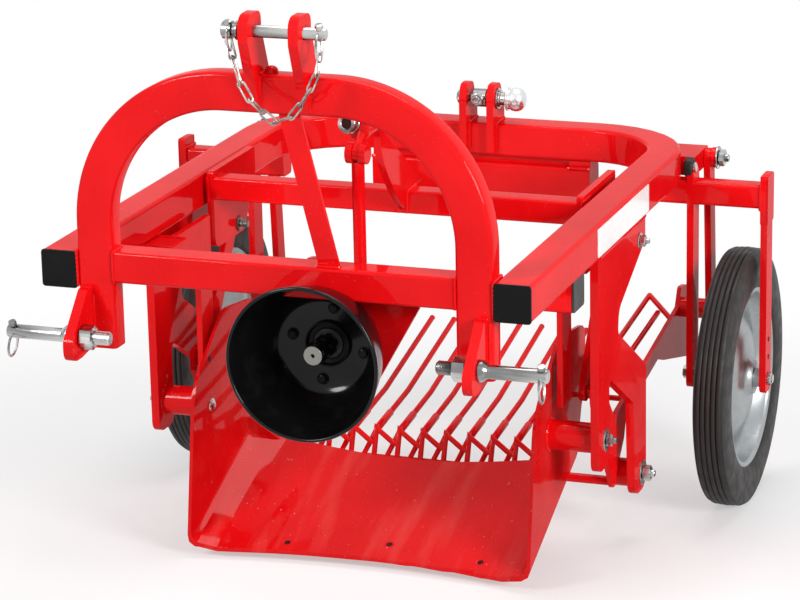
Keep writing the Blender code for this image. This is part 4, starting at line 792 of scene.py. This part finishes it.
for word, side in SIDES:
    bm = bmesh.new()
    lathe(bm, sideways(HITCH_PROFILE, side), "x", HITCH, 40)
    hexagon(bm, 0.034, *span(side, 0.2915, 0.3150), "x", HITCH, 0.0105, (0, 0.3, 1))
    piece(f"turned_hitch_pin_{word}", bm, "zinc", "chassis", (f"hitch_pin_{word}",))
    bm = bmesh.new()
    cross_hole = (side * 0.4290, HITCH.y, HITCH.z)
    linchpin(bm, cross_hole, (0.10 * side, -0.35, 0.93), (side * 0.002, -0.006, -0.019))
    piece(f"hitch_linchpin_{word}", bm, "zinc")

# Top link pin, its linchpin and the chain between them

TOP_PIN = Vector((0, -0.011, 0.367))
TOP_PIN_PROFILE = (
    (0, -0.0745), (0.0115, -0.0745), (0.0138, -0.0725), (0.0138, -0.0585), (0.0095, -0.0570),
    (0.0095, 0.0880), (0.0080, 0.0905), (0, 0.0908),
)
bm = bmesh.new()
lathe(bm, TOP_PIN_PROFILE, "x", TOP_PIN, 40)
ring(bm, 0.0095, 0.0150, -0.0520, -0.0470, "x", TOP_PIN)
piece("turned_top_link_pin", bm, "zinc", "chassis", ("top_link_pin",))
for name, x, direction, ring_drop in (
    ("top_linchpin", 0.0800, (0.05, -0.30, 0.95), (0.003, -0.012, -0.018)),
    ("top_pin_clip", -0.0640, (0.0, -0.45, 0.89), (0.004, -0.012, -0.012)),
):
    bm = bmesh.new()
    linchpin(bm, (x, TOP_PIN.y, TOP_PIN.z), direction, ring_drop, TOP_LINCHPIN_REACH)
    piece(name, bm, "zinc")

CHAIN_PATH = (
    (-0.0607, -0.024, 0.3539),
    (-0.0500, -0.035, 0.3300),
    (-0.0355, -0.044, 0.2936),
    (-0.0191, -0.047, 0.2693),
    (-0.0001, -0.048, 0.2523),
    (0.0190, -0.049, 0.2384),
    (0.0447, -0.049, 0.2475),
    (0.0608, -0.048, 0.2665),
    (0.0754, -0.047, 0.2898),
    (0.0860, -0.044, 0.3123),
    (0.0850, -0.030, 0.3400),
)
LINK_WIRE, LINK_HALF_WIDTH, LINK_OVERLAP = 0.0017, 0.0050, 0.0030
LINK_STEPS, LINK_TWIST = 5, 0.35
bm = bmesh.new()
for index, (first, second) in enumerate(zip(CHAIN_PATH, CHAIN_PATH[1:])):
    first, second = Vector(first), Vector(second)
    ahead = (second - first).normalized()
    rearward = DIRECTIONS["y"]
    flat = rearward if index % 2 else rearward * LINK_TWIST + ahead.cross(rearward)
    wide = (flat - ahead * flat.dot(ahead)).normalized()
    half = (second - first).length / 2 + LINK_OVERLAP - LINK_HALF_WIDTH
    middle = (first + second) / 2
    loop = []
    for end in (1, -1):
        for step in range(LINK_STEPS + 1):
            angle = math.pi * step / LINK_STEPS - math.pi / 2
            reach = half + LINK_HALF_WIDTH * math.cos(angle)
            across = LINK_HALF_WIDTH * math.sin(angle)
            loop.append(middle + ahead * (end * reach) + wide * (end * across))
    tube(bm, loop, LINK_WIRE, 8, closed=True)
piece("keeper_chain", bm, "chain")

# Fasteners

Fastener = namedtuple("Fastener", "name x y z across head washer")
FASTENERS = (
    Fastener("arm_top_bolt", 0.3942, 0.627, -0.096, 0.017, 0.009, 0.0135),
    Fastener("arm_share_bolt", 0.3942, 0.420, -0.378, 0.017, 0.010, 0.0185),
    Fastener("arm_foot_bolt", 0.3942, 0.645, -0.510, 0.024, 0.014, 0.0215),
    Fastener("hanger_bolt", 0.4302, 1.015, -0.045, 0.026, 0.012, 0.0205),
)
WASHER_LOW, WASHER_HIGH, HEAD_SEAT = -0.0006, 0.0022, 0.0020
for fastener in FASTENERS:
    spot = (0, fastener.y, fastener.z)
    across, face = fastener.across, fastener.x
    end = face + WASHER_HIGH + fastener.head
    thread = [(0, end - 0.002), (across * 0.27, end - 0.002), (across * 0.27, end + 0.004)]
    thread += [(across * 0.22, end + 0.006), (0, end + 0.006)]
    for word, side in SIDES:
        bm = bmesh.new()
        washer = span(side, face + WASHER_LOW, face + WASHER_HIGH)
        ring(bm, across * 0.25, fastener.washer, *washer, "x", spot)
        hexagon(bm, across, *span(side, face + HEAD_SEAT, end), "x", spot, 0.0, (0, 0.4, 1))
        lathe(bm, sideways(thread, side), "x", spot, 24)
        piece(f"{fastener.name}_{word}", bm, "zinc")

AXLE_BOLT_PROFILE = (
    (0, 0.3960), (0.0098, 0.3970), (0.0098, 0.5480), (0.0075, 0.5500), (0.0075, 0.5565),
    (0, 0.5575),
)
for word, side in SIDES:
    bm = bmesh.new()
    lathe(bm, sideways(AXLE_BOLT_PROFILE, side), "x", AXLE, 32)
    for low, high in ((0.3955, 0.4040), (0.5485, 0.5545)):
        hexagon(bm, 0.021, *span(side, low, high), "x", AXLE, 0.0, (0, 0.2, 1))
    ring(bm, 0.0075, 0.0135, *span(side, 0.4040, 0.4062), "x", AXLE)
    piece(f"axle_bolt_{word}", bm, "zinc", "chassis", (f"wheel_axle_{word}",))

# Caps, label and small things on the frame

STUB_SLEEVE_START, STUB_CAP_FACE, STUB_CAP_END = 0.3735, 0.3840, 0.3885
LABEL_BACK, LABEL_FACE = 0.4002, 0.4008
RIB_OUTLINE = ((0.9990, -0.0725), (1.0070, -0.0725), (1.0070, -0.0595), (0.9990, -0.0595))
RIB_HALF_LENGTH = 0.2045
PLUG_PROFILE = (
    (0, -0.001), (0.0105, -0.001), (0.0105, 0.004), (0.0085, 0.008), (0.0045, 0.0105), (0, 0.0112),
)
for word, side in SIDES:
    bm = bmesh.new()
    ends = side * STUB_SLEEVE_START, side * STUB_CAP_FACE
    rounded_slab(bm, (0.2625, -0.1198), (0.3215, -0.0608), 0.006, *ends)
    piece(f"stub_sleeve_{word}", bm, "paint")
    bm = bmesh.new()
    ends = side * STUB_CAP_FACE, side * STUB_CAP_END
    rounded_slab(bm, (0.2630, -0.1193), (0.3210, -0.0613), 0.006, *ends)
    piece(f"stub_cap_{word}", bm, "stub_cap", roll=0.0012)
    bm = bmesh.new()
    ends = side * LABEL_BACK, side * LABEL_FACE
    rounded_slab(bm, (0.3560, -0.0535), (0.6620, -0.0065), 0.004, *ends)
    piece(f"blank_label_{word}", bm, "film")
bm = bmesh.new()
slab(bm, RIB_OUTLINE, "x", -RIB_HALF_LENGTH, RIB_HALF_LENGTH)
piece("cross_member_rib", bm, "paint")
bm = bmesh.new()
lathe(bm, PLUG_PROFILE, "z", (-0.012, 0.023, 0.2968), 28)
piece("arch_plug", bm, "paint")

# Arch: the same tube as the CAD's, with bends in many small steps

ARCH_HALF_WIDTH, ARCH_TOP, ARCH_CORNER = 0.3397, 0.297, 0.250
ARCH_FOOT, ARCH_MIDDLE = -0.155, 0.023
ARCH_HALF_FACE, ARCH_HALF_DEPTH, ARCH_ROUND = 0.030, 0.020, 0.007
ARCH_STEPS, ARCH_ROUND_STEPS = 36, 5


def arch_section():
    """Outward and rearward places round the tube, with rounded corners."""
    corners = ((1, 1, 0), (-1, 1, 90), (-1, -1, 180), (1, -1, 270))
    places = []
    for across, along, turn in corners:
        for step in range(ARCH_ROUND_STEPS + 1):
            angle = math.radians(turn + 90 * step / ARCH_ROUND_STEPS)
            places.append(
                (
                    across * (ARCH_HALF_FACE - ARCH_ROUND) + ARCH_ROUND * math.cos(angle),
                    along * (ARCH_HALF_DEPTH - ARCH_ROUND) + ARCH_ROUND * math.sin(angle),
                )
            )
    return places


bend = ARCH_CORNER - ARCH_HALF_FACE
turn_x, turn_z = ARCH_HALF_WIDTH - ARCH_CORNER, ARCH_TOP - ARCH_CORNER
leg_x = ARCH_HALF_WIDTH - ARCH_HALF_FACE
path = [(-leg_x, ARCH_FOOT, math.pi)]
for middle_x, start in ((-turn_x, math.pi), (turn_x, math.pi / 2)):
    for step in range(ARCH_STEPS + 1):
        angle = start - math.pi / 2 * step / ARCH_STEPS
        path.append((middle_x + bend * math.cos(angle), turn_z + bend * math.sin(angle), angle))
path.append((leg_x, ARCH_FOOT, 0))
bm = bmesh.new()
rows = []
for x, z, angle in path:
    out_x, out_z = math.cos(angle), math.sin(angle)
    rows.append(
        [
            bm.verts.new((x + out * out_x, ARCH_MIDDLE + rear, z + out * out_z))
            for out, rear in arch_section()
        ]
    )
bridge(bm, rows)
piece("smooth_arch", bm, "paint", "chassis", ("hitch_arch",))

# Rubber buffers over the fork tube

BUFFER = (0, 0.9080, -0.0380)
BUFFER_PROFILE = (
    (0, 0.3996), (0.0150, 0.3996), (0.0172, 0.4012), (0.0180, 0.4040), (0.0172, 0.4070),
    (0.0180, 0.4100), (0.0172, 0.4124), (0.0150, 0.4134), (0, 0.4134),
)
for word, side in SIDES:
    bm = bmesh.new()
    lathe(bm, sideways(BUFFER_PROFILE, side), "x", BUFFER, 40)
    piece(f"fork_buffer_{word}", bm, "spacer")
    bm = bmesh.new()
    hexagon(bm, 0.016, *span(side, 0.4130, 0.4190), "x", BUFFER, 0.0, (0, 0.3, 1))
    piece(f"fork_buffer_bolt_{word}", bm, "zinc")

# Lever ring bush and the nuts of the drive links' upper pins

BUSH_LEAN = (-0.20, -0.95, 0.22)
BUSH = (0.0020, 0.3235, 0.1500)
BUSH_BORE = 0.0086
BUSH_RIBS = (-0.0280, -0.0200, -0.0120, -0.0040)
bm = bmesh.new()
ring(bm, 0.0092, 0.0160, 0.0110, 0.0170, BUSH_LEAN, BUSH, 48)
ring(bm, BUSH_BORE, 0.0140, 0.0040, 0.0120, BUSH_LEAN, BUSH, 48)
for along in BUSH_RIBS:
    ring(bm, BUSH_BORE, 0.0156, along, along + 0.0060, BUSH_LEAN, BUSH, 48)
    ring(bm, BUSH_BORE, 0.0136, along + 0.0050, along + 0.0090, BUSH_LEAN, BUSH, 48)
piece("lever_ring_bush", bm, "zinc", "rocker")
# A dark disc inside the bush's bore: painted shade
bm = bmesh.new()
bore_shade_disc = [(0, 0.0125), (0.0093, 0.0125), (0.0093, 0.0135), (0, 0.0135)]
lathe(bm, bore_shade_disc, BUSH_LEAN, BUSH, 32)
piece("lever_bush_bore_shade", bm, "hole", "rocker")

LINK_PIN = (0, 0.6150, -0.1130)
ROCKER_PLATE_X = 0.3300
thread = [(0, ROCKER_PLATE_X - 0.028), (0.0058, ROCKER_PLATE_X - 0.0275)]
thread += [
    (0.0068 if step % 2 else 0.0058, ROCKER_PLATE_X - 0.026 + step * THREAD_PITCH)
    for step in range(11)
]
thread += [(0, ROCKER_PLATE_X - 0.008)]
for word, side in SIDES:
    bm = bmesh.new()
    nut = span(side, ROCKER_PLATE_X - 0.0140, ROCKER_PLATE_X - 0.0020)
    hexagon(bm, 0.024, *nut, "x", LINK_PIN, 0.0, (0, 0.3, 1))
    lathe(bm, sideways(thread, side), "x", LINK_PIN, 20)
    washer = span(side, ROCKER_PLATE_X + 0.0001, ROCKER_PLATE_X - 0.0022)
    ring(bm, 0.005, 0.0165, *washer, "x", LINK_PIN)
    piece(f"drive_link_nut_{word}", bm, "dark_nut", "rocker")

# Rear clevis bolt: head, eye nut between the ears, washers and a dome knob

CLEVIS = (0, 0.992, 0.044)
EYE_BOLT = (0.001, 0.992, 0.046)
CLEVIS_BOLT_PROFILE = ((0, -0.0440), (0.0076, -0.0435), (0.0076, 0.0560), (0, 0.0560))
KNOB_PROFILE = (
    (0, 0.0500), (0.0205, 0.0500), (0.0212, 0.0512), (0.0208, 0.0526), (0.0185, 0.0532),
    (0.0180, 0.0560), (0.0204, 0.0600), (0.0214, 0.0660), (0.0206, 0.0720), (0.0180, 0.0775),
    (0.0135, 0.0815), (0.0070, 0.0838), (0, 0.0844),
)
EYE_BOLT_PROFILE = (
    (0, -0.0330), (0.0055, -0.0325), (0.0068, -0.0310), (0.0068, -0.0270), (0, -0.0270),
)
bm = bmesh.new()
lathe(bm, CLEVIS_BOLT_PROFILE, "x", CLEVIS, 28)
hexagon(bm, 0.022, -0.0425, -0.0335, "x", CLEVIS, 0.0, (0, 0.2, 1))
ring(bm, 0.0077, 0.0150, -0.0345, -0.0322, "x", CLEVIS)
for outer, low, high in (
    (0.0190, 0.0323, 0.0350),
    (0.0150, 0.0352, 0.0390),
    (0.0120, 0.0385, 0.0510),
):
    ring(bm, 0.0077, outer, low, high, "x", CLEVIS, 48)
piece("rear_bolt", bm, "zinc", "chassis", ("rear_clevis_bolt",))
bm = bmesh.new()
lathe(bm, KNOB_PROFILE, "x", CLEVIS, 56)
piece("rear_knob", bm, "dome")
bm = bmesh.new()
ring(bm, 0.0078, 0.0165, -0.0120, 0.0140, "x", CLEVIS, 36)
hexagon(bm, 0.022, -0.0280, -0.0155, "y", EYE_BOLT, 0.0, (0.2, 0, 1))
lathe(bm, EYE_BOLT_PROFILE, "y", EYE_BOLT, 24)
piece("rear_eye_nut", bm, "zinc")

# Sieve: a sleeve on each long bar behind the crown, and rounded rear ends

BAR_COUNT, BAR_PITCH, BAR_SHIFT = 12, 0.0423, -0.010
BAR_NECK, BAR_KNEE = Vector((0, 0.614, -0.465)), Vector((0, 0.780, -0.446))
BAR_REAR = Vector((0, 1.040, -0.390))
BAR_RADIUS, SLEEVE_RADIUS, SLEEVE_SUNK = 0.0052, 0.0066, 0.0045
SLEEVE_START, SLEEVE_END = 0.002, 0.072
SLEEVE_PROFILE = (
    (SLEEVE_SUNK, SLEEVE_START - 0.001),
    (SLEEVE_RADIUS * 0.9, SLEEVE_START),
    (SLEEVE_RADIUS, SLEEVE_START + 0.002),
    (SLEEVE_RADIUS, SLEEVE_END - 0.002),
    (SLEEVE_RADIUS * 0.9, SLEEVE_END - 0.0005),
    (SLEEVE_SUNK, SLEEVE_END),
)
BAR_END_PROFILE = (
    (0, -0.002), (BAR_RADIUS, -0.001), (BAR_RADIUS, 0.0002), (0.0040, 0.0022), (0.00225, 0.0034),
    (0, 0.0038),
)
sleeves = bmesh.new()
ends = bmesh.new()
for index in range(BAR_COUNT):
    across = Vector((BAR_SHIFT + (index - (BAR_COUNT - 1) / 2) * BAR_PITCH, 0, 0))
    lathe(sleeves, SLEEVE_PROFILE, BAR_KNEE - BAR_NECK, BAR_NECK + across, 16)
    lathe(ends, BAR_END_PROFILE, BAR_REAR - BAR_KNEE, BAR_REAR + across, 16)
piece("bar_sleeves", sleeves, "paint", "sieve")
piece("bar_ends", ends, "paint", "sieve")

# Share: edge holes, panel holes, panel bolts and rear gussets

HOLE_UP, CORNER_HOLE_UP = (0, -0.345, 0.938), (-0.130, -0.380, 0.916)
EDGE_HOLES = (
    (-0.1375, 0.3398, -0.5832, HOLE_UP),
    (0.0359, 0.3630, -0.5768, HOLE_UP),
    (0.2038, 0.3368, -0.5811, CORNER_HOLE_UP),
)
PANEL_X = 0.2950
HOLE_RIM_PROFILE = (
    (0.0052, -0.001), (0.0072, -0.0005), (0.0078, 0.0004), (0.0070, 0.0011), (0.0056, 0.0004),
)
EDGE_SHADE_PROFILE = ((0, -0.001), (0.0054, -0.001), (0.0054, 0.0004), (0, 0.0004))
PANEL_SHADE_PROFILE = ((0, -0.0004), (0.0050, -0.0004), (0.0050, 0.0005), (0, 0.0005))
PANEL_BOLT_PROFILE = (
    (0, 0), (0.0130, 0.0002), (0.0130, 0.0016), (0.0100, 0.0040), (0.0055, 0.0062), (0, 0.0068),
)
# Corners as x and minus z
GUSSET_OUTLINE = (
    (0.2955, 0.480), (0.2955, 0.448), (0.2840, 0.449), (0.2330, 0.484), (0.2330, 0.492),
)
GUSSET_FRONT, GUSSET_BACK = 0.5620, 0.5670
rims = bmesh.new()
shade = bmesh.new()
for x, y, z, up_side in EDGE_HOLES:
    lathe(rims, HOLE_RIM_PROFILE, up_side, (x, y, z), 28)
    lathe(shade, EDGE_SHADE_PROFILE, up_side, (x, y, z), 28)
for _, side in SIDES:
    inward = (-side, 0, 0)
    lathe(shade, PANEL_SHADE_PROFILE, inward, (side * PANEL_X, 0.4058, -0.2940), 24)
piece("share_hole_rims", rims, "paint")
piece("share_hole_shade", shade, "hole")
for word, side in SIDES:
    bm = bmesh.new()
    lathe(bm, PANEL_BOLT_PROFILE, (-side, 0, 0), (side * PANEL_X, 0.4067, -0.3768), 32)
    piece(f"share_panel_bolt_{word}", bm, "zinc")
for word, side in SIDES:
    bm = bmesh.new()
    slab(bm, [(side * x, down) for x, down in GUSSET_OUTLINE], "y", GUSSET_FRONT, GUSSET_BACK)
    piece(f"share_gusset_{word}", bm, "paint_scuffed_and_shaded", roll=0.001)

# Fork adjusting holes, drawn as shaded bores on the legs

LEG_FACE = 0.5482
FORK_HOLE_PROFILE = ((0, -0.0004), (0.0045, -0.0004), (0.0045, 0.0004), (0, 0.0004))
bm = bmesh.new()
for _, side in SIDES:
    for hole_z in (-0.372, -0.340):
        lathe(bm, FORK_HOLE_PROFILE, (side, 0, 0), (side * LEG_FACE, AXLE_Y, hole_z), 20)
piece("fork_holes", bm, "hole")

# Fork: folded sleeves where the legs meet the tube

SLEEVE_LOW_Z, SLEEVE_HIGH_Z = -0.1280, -0.0430
SLEEVE_PLATES = (
    (0.8930, 0.9370, 0.005, 0.5465, 0.5494, 5),
    (0.8930, 0.8952, 0.001, 0.5355, 0.5480, 2),
    (0.9348, 0.9370, 0.001, 0.5355, 0.5480, 2),
)
for word, side in SIDES:
    bm = bmesh.new()
    for front, rear, radius, start, end, steps in SLEEVE_PLATES:
        low, high = (front, SLEEVE_LOW_Z), (rear, SLEEVE_HIGH_Z)
        rounded_slab(bm, low, high, radius, side * start, side * end, steps)
    piece(f"fork_sleeve_{word}", bm, "paint")

# Weld beads

def both(*points):
    """The same path on each side of the machine."""
    return [[(side * x, y, z) for x, y, z in points] for _, side in SIDES]


def circles(x, y, z, radius, steps=30):
    """A circle about the x direction, on each side of the machine."""
    angles = [math.tau * step / steps for step in range(steps + 1)]
    return both(*[(x, y + radius * math.cos(a), z + radius * math.sin(a)) for a in angles])


def squares(x, y_low, z_low, y_high, z_high):
    """An upright rectangle that faces sideways, on each side of the machine."""
    corners = ((y_low, z_low), (y_high, z_low), (y_high, z_high), (y_low, z_high), (y_low, z_low))
    return both(*[(x, y, z) for y, z in corners])


def lines(places, *points):
    """The same path at each of several places across."""
    return [[(x, y, z) for y, z in points] for x in places]


def crosswise(x_low, x_high, y, z):
    return both((x_low, y, z), (x_high, y, z))


CLEVIS_TOP = (-0.0402, -0.0238, 0.0398, 0.0562)
CLEVIS_FRONT = (-0.0404, -0.0236, 0.0396, 0.0564)
REAR_EARS = (-0.0325, -0.0185, 0.0185, 0.0325)
INSIDE, OUTSIDE, LUG_INSIDE, LUG_OUTSIDE = 0.2795, 0.3402, 0.3150, 0.3332
ARM_FACE = 0.3942
# Name, radius and paths of each bead
WELDS = (
    (
        "arch_crossbar", 0.0026,
        both((INSIDE, 0.0035, -0.0470), (INSIDE, 0.0030, 0.0015), (INSIDE, 0.0430, 0.0022)),
    ),
    (
        "arch_rail", 0.0028,
        both((OUTSIDE, 0.0030, -0.0570), (OUTSIDE, 0.0025, 0.0), (OUTSIDE, 0.0430, 0.0006)),
    ),
    ("arch_rail_rear", 0.0030, both((OUTSIDE, 0.0435, -0.0570), (OUTSIDE, 0.0435, 0.0))),
    ("crossbar_rear", 0.0026, both((0.2797, 0.0525, 0.0), (0.2797, 0.0525, -0.0460))),
    (
        "lug_front", 0.0024,
        both((LUG_INSIDE, 0.0032, -0.0680), (LUG_INSIDE, 0.0032, -0.1500))
        + both((LUG_OUTSIDE, 0.0032, -0.0640), (LUG_OUTSIDE, 0.0032, -0.1500)),
    ),
    ("lug_top", 0.0038, crosswise(LUG_INSIDE, LUG_OUTSIDE, 0.0005, -0.0580)),
    ("clevis_top", 0.0028, lines(CLEVIS_TOP, (0.0060, 0.2975), (0.0420, 0.2975))),
    ("clevis_front", 0.0026, lines(CLEVIS_FRONT, (0.0028, 0.2430), (0.0028, 0.2960))),
    ("brace_foot", 0.0028, [[(0.0560, 0.0110, 0.0030), (0.0950, 0.0110, 0.0030)]]),
    ("rocker_plate", 0.0030, squares(ROCKER_PLATE_X, 0.5090, -0.0470, 0.5510, -0.0050)),
    (
        "lever_root", 0.0032,
        lines((0.0125, 0.0275), (0.5090, -0.0440), (0.5090, -0.0070), (0.5500, -0.0048)),
    ),
    (
        "lever_boss", 0.0030,
        [[(0.0128, 0.3960, 0.1580), (0.0120, 0.3940, 0.1430), (0.0128, 0.3960, 0.1270)]],
    ),
    ("arm_top", 0.0032, both((ARM_FACE, 0.3850, -0.0612), (ARM_FACE, 0.6600, -0.0612))),
    ("arm_boss_out", 0.0030, circles(0.3796, 0.415, -0.375, 0.0255)),
    ("arm_boss_in", 0.0030, circles(0.3022, 0.415, -0.375, 0.0255)),
    ("arm_foot", 0.0028, circles(0.3796, 0.640, -0.510, 0.0245)),
    ("fork_tube", 0.0030, squares(0.5352, 0.8945, -0.1030, 0.9355, -0.0596)),
    (
        "rear_ears", 0.0026,
        lines(REAR_EARS, (0.9790, -0.0480), (0.9790, 0.0010), (1.0280, 0.0014)),
    ),
    (
        "rail_stub", 0.0030,
        crosswise(0.2920, 0.3730, 0.2620, -0.0610) + crosswise(0.2920, 0.3730, 0.3225, -0.0610),
    ),
    ("cross_member", 0.0030, crosswise(0.1650, 0.2050, 0.9795, -0.0725)),
)
ROCKER_WELDS = "rocker_plate", "lever_root", "lever_boss"
BEAD_GAP = 0.0036
BEAD_RIPPLE = 0.13
BEAD_SIDES = 8
for name, radius, paths in WELDS:
    bm = bmesh.new()
    for path in paths:
        tube(bm, spaced(path, BEAD_GAP), radius, BEAD_SIDES, ripple=BEAD_RIPPLE)
    piece(f"weld_{name}", bm, "weld", "rocker" if name in ROCKER_WELDS else "chassis")

# Floor: shadow-catching near the machine, and plain white further off

FLOOR_HALF = 30
FLOOR_SHADOW_REACH, FLOOR_WHITE_REACH = 0.7, 1.9
FLOOR_LIFT = 0.45
FLOOR_GREY, FLOOR_ROUGHNESS, FLOOR_GLOSS = 0.93, 0.9, 0.1
GLOW_LIGHT, GLOW_SEEN = 0.4, 1.0
floor_bm = bmesh.new()
for x, y in ((-1, -1), (1, -1), (1, 1), (-1, 1)):
    floor_bm.verts.new((x * FLOOR_HALF, y * FLOOR_HALF, 0))
floor_bm.faces.new(floor_bm.verts)
floor = mesh_object("floor", floor_bm)
floor_look = bpy.data.materials.new("floor")
floor_look.use_nodes = True
tree = floor_look.node_tree
shader = tree.nodes["Principled BSDF"]
shader.inputs["Base Color"].default_value = (FLOOR_GREY, FLOOR_GREY, FLOOR_GREY, 1)
shader.inputs["Roughness"].default_value = FLOOR_ROUGHNESS
shader.inputs["Specular IOR Level"].default_value = FLOOR_GLOSS
glow = tree.nodes.new("ShaderNodeEmission")
white_when_seen(tree, GLOW_LIGHT, GLOW_SEEN, glow.inputs["Strength"])
spot = tree.nodes.new("ShaderNodeTexCoord")
reach = tree.nodes.new("ShaderNodeVectorMath")
reach.operation = "LENGTH"
fade = tree.nodes.new("ShaderNodeMapRange")
fade.interpolation_type = "SMOOTHSTEP"
fade.inputs["From Min"].default_value = FLOOR_SHADOW_REACH
fade.inputs["From Max"].default_value = FLOOR_WHITE_REACH
fade.inputs["To Min"].default_value = FLOOR_LIFT
blend = tree.nodes.new("ShaderNodeMixShader")
tree.links.new(spot.outputs["Object"], reach.inputs[0])
tree.links.new(reach.outputs["Value"], fade.inputs["Value"])
tree.links.new(fade.outputs["Result"], blend.inputs[0])
tree.links.new(shader.outputs["BSDF"], blend.inputs[1])
tree.links.new(glow.outputs["Emission"], blend.inputs[2])
tree.links.new(blend.outputs["Shader"], tree.nodes["Material Output"].inputs["Surface"])
floor.data.materials.append(floor_look)
floor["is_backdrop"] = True

low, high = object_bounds()
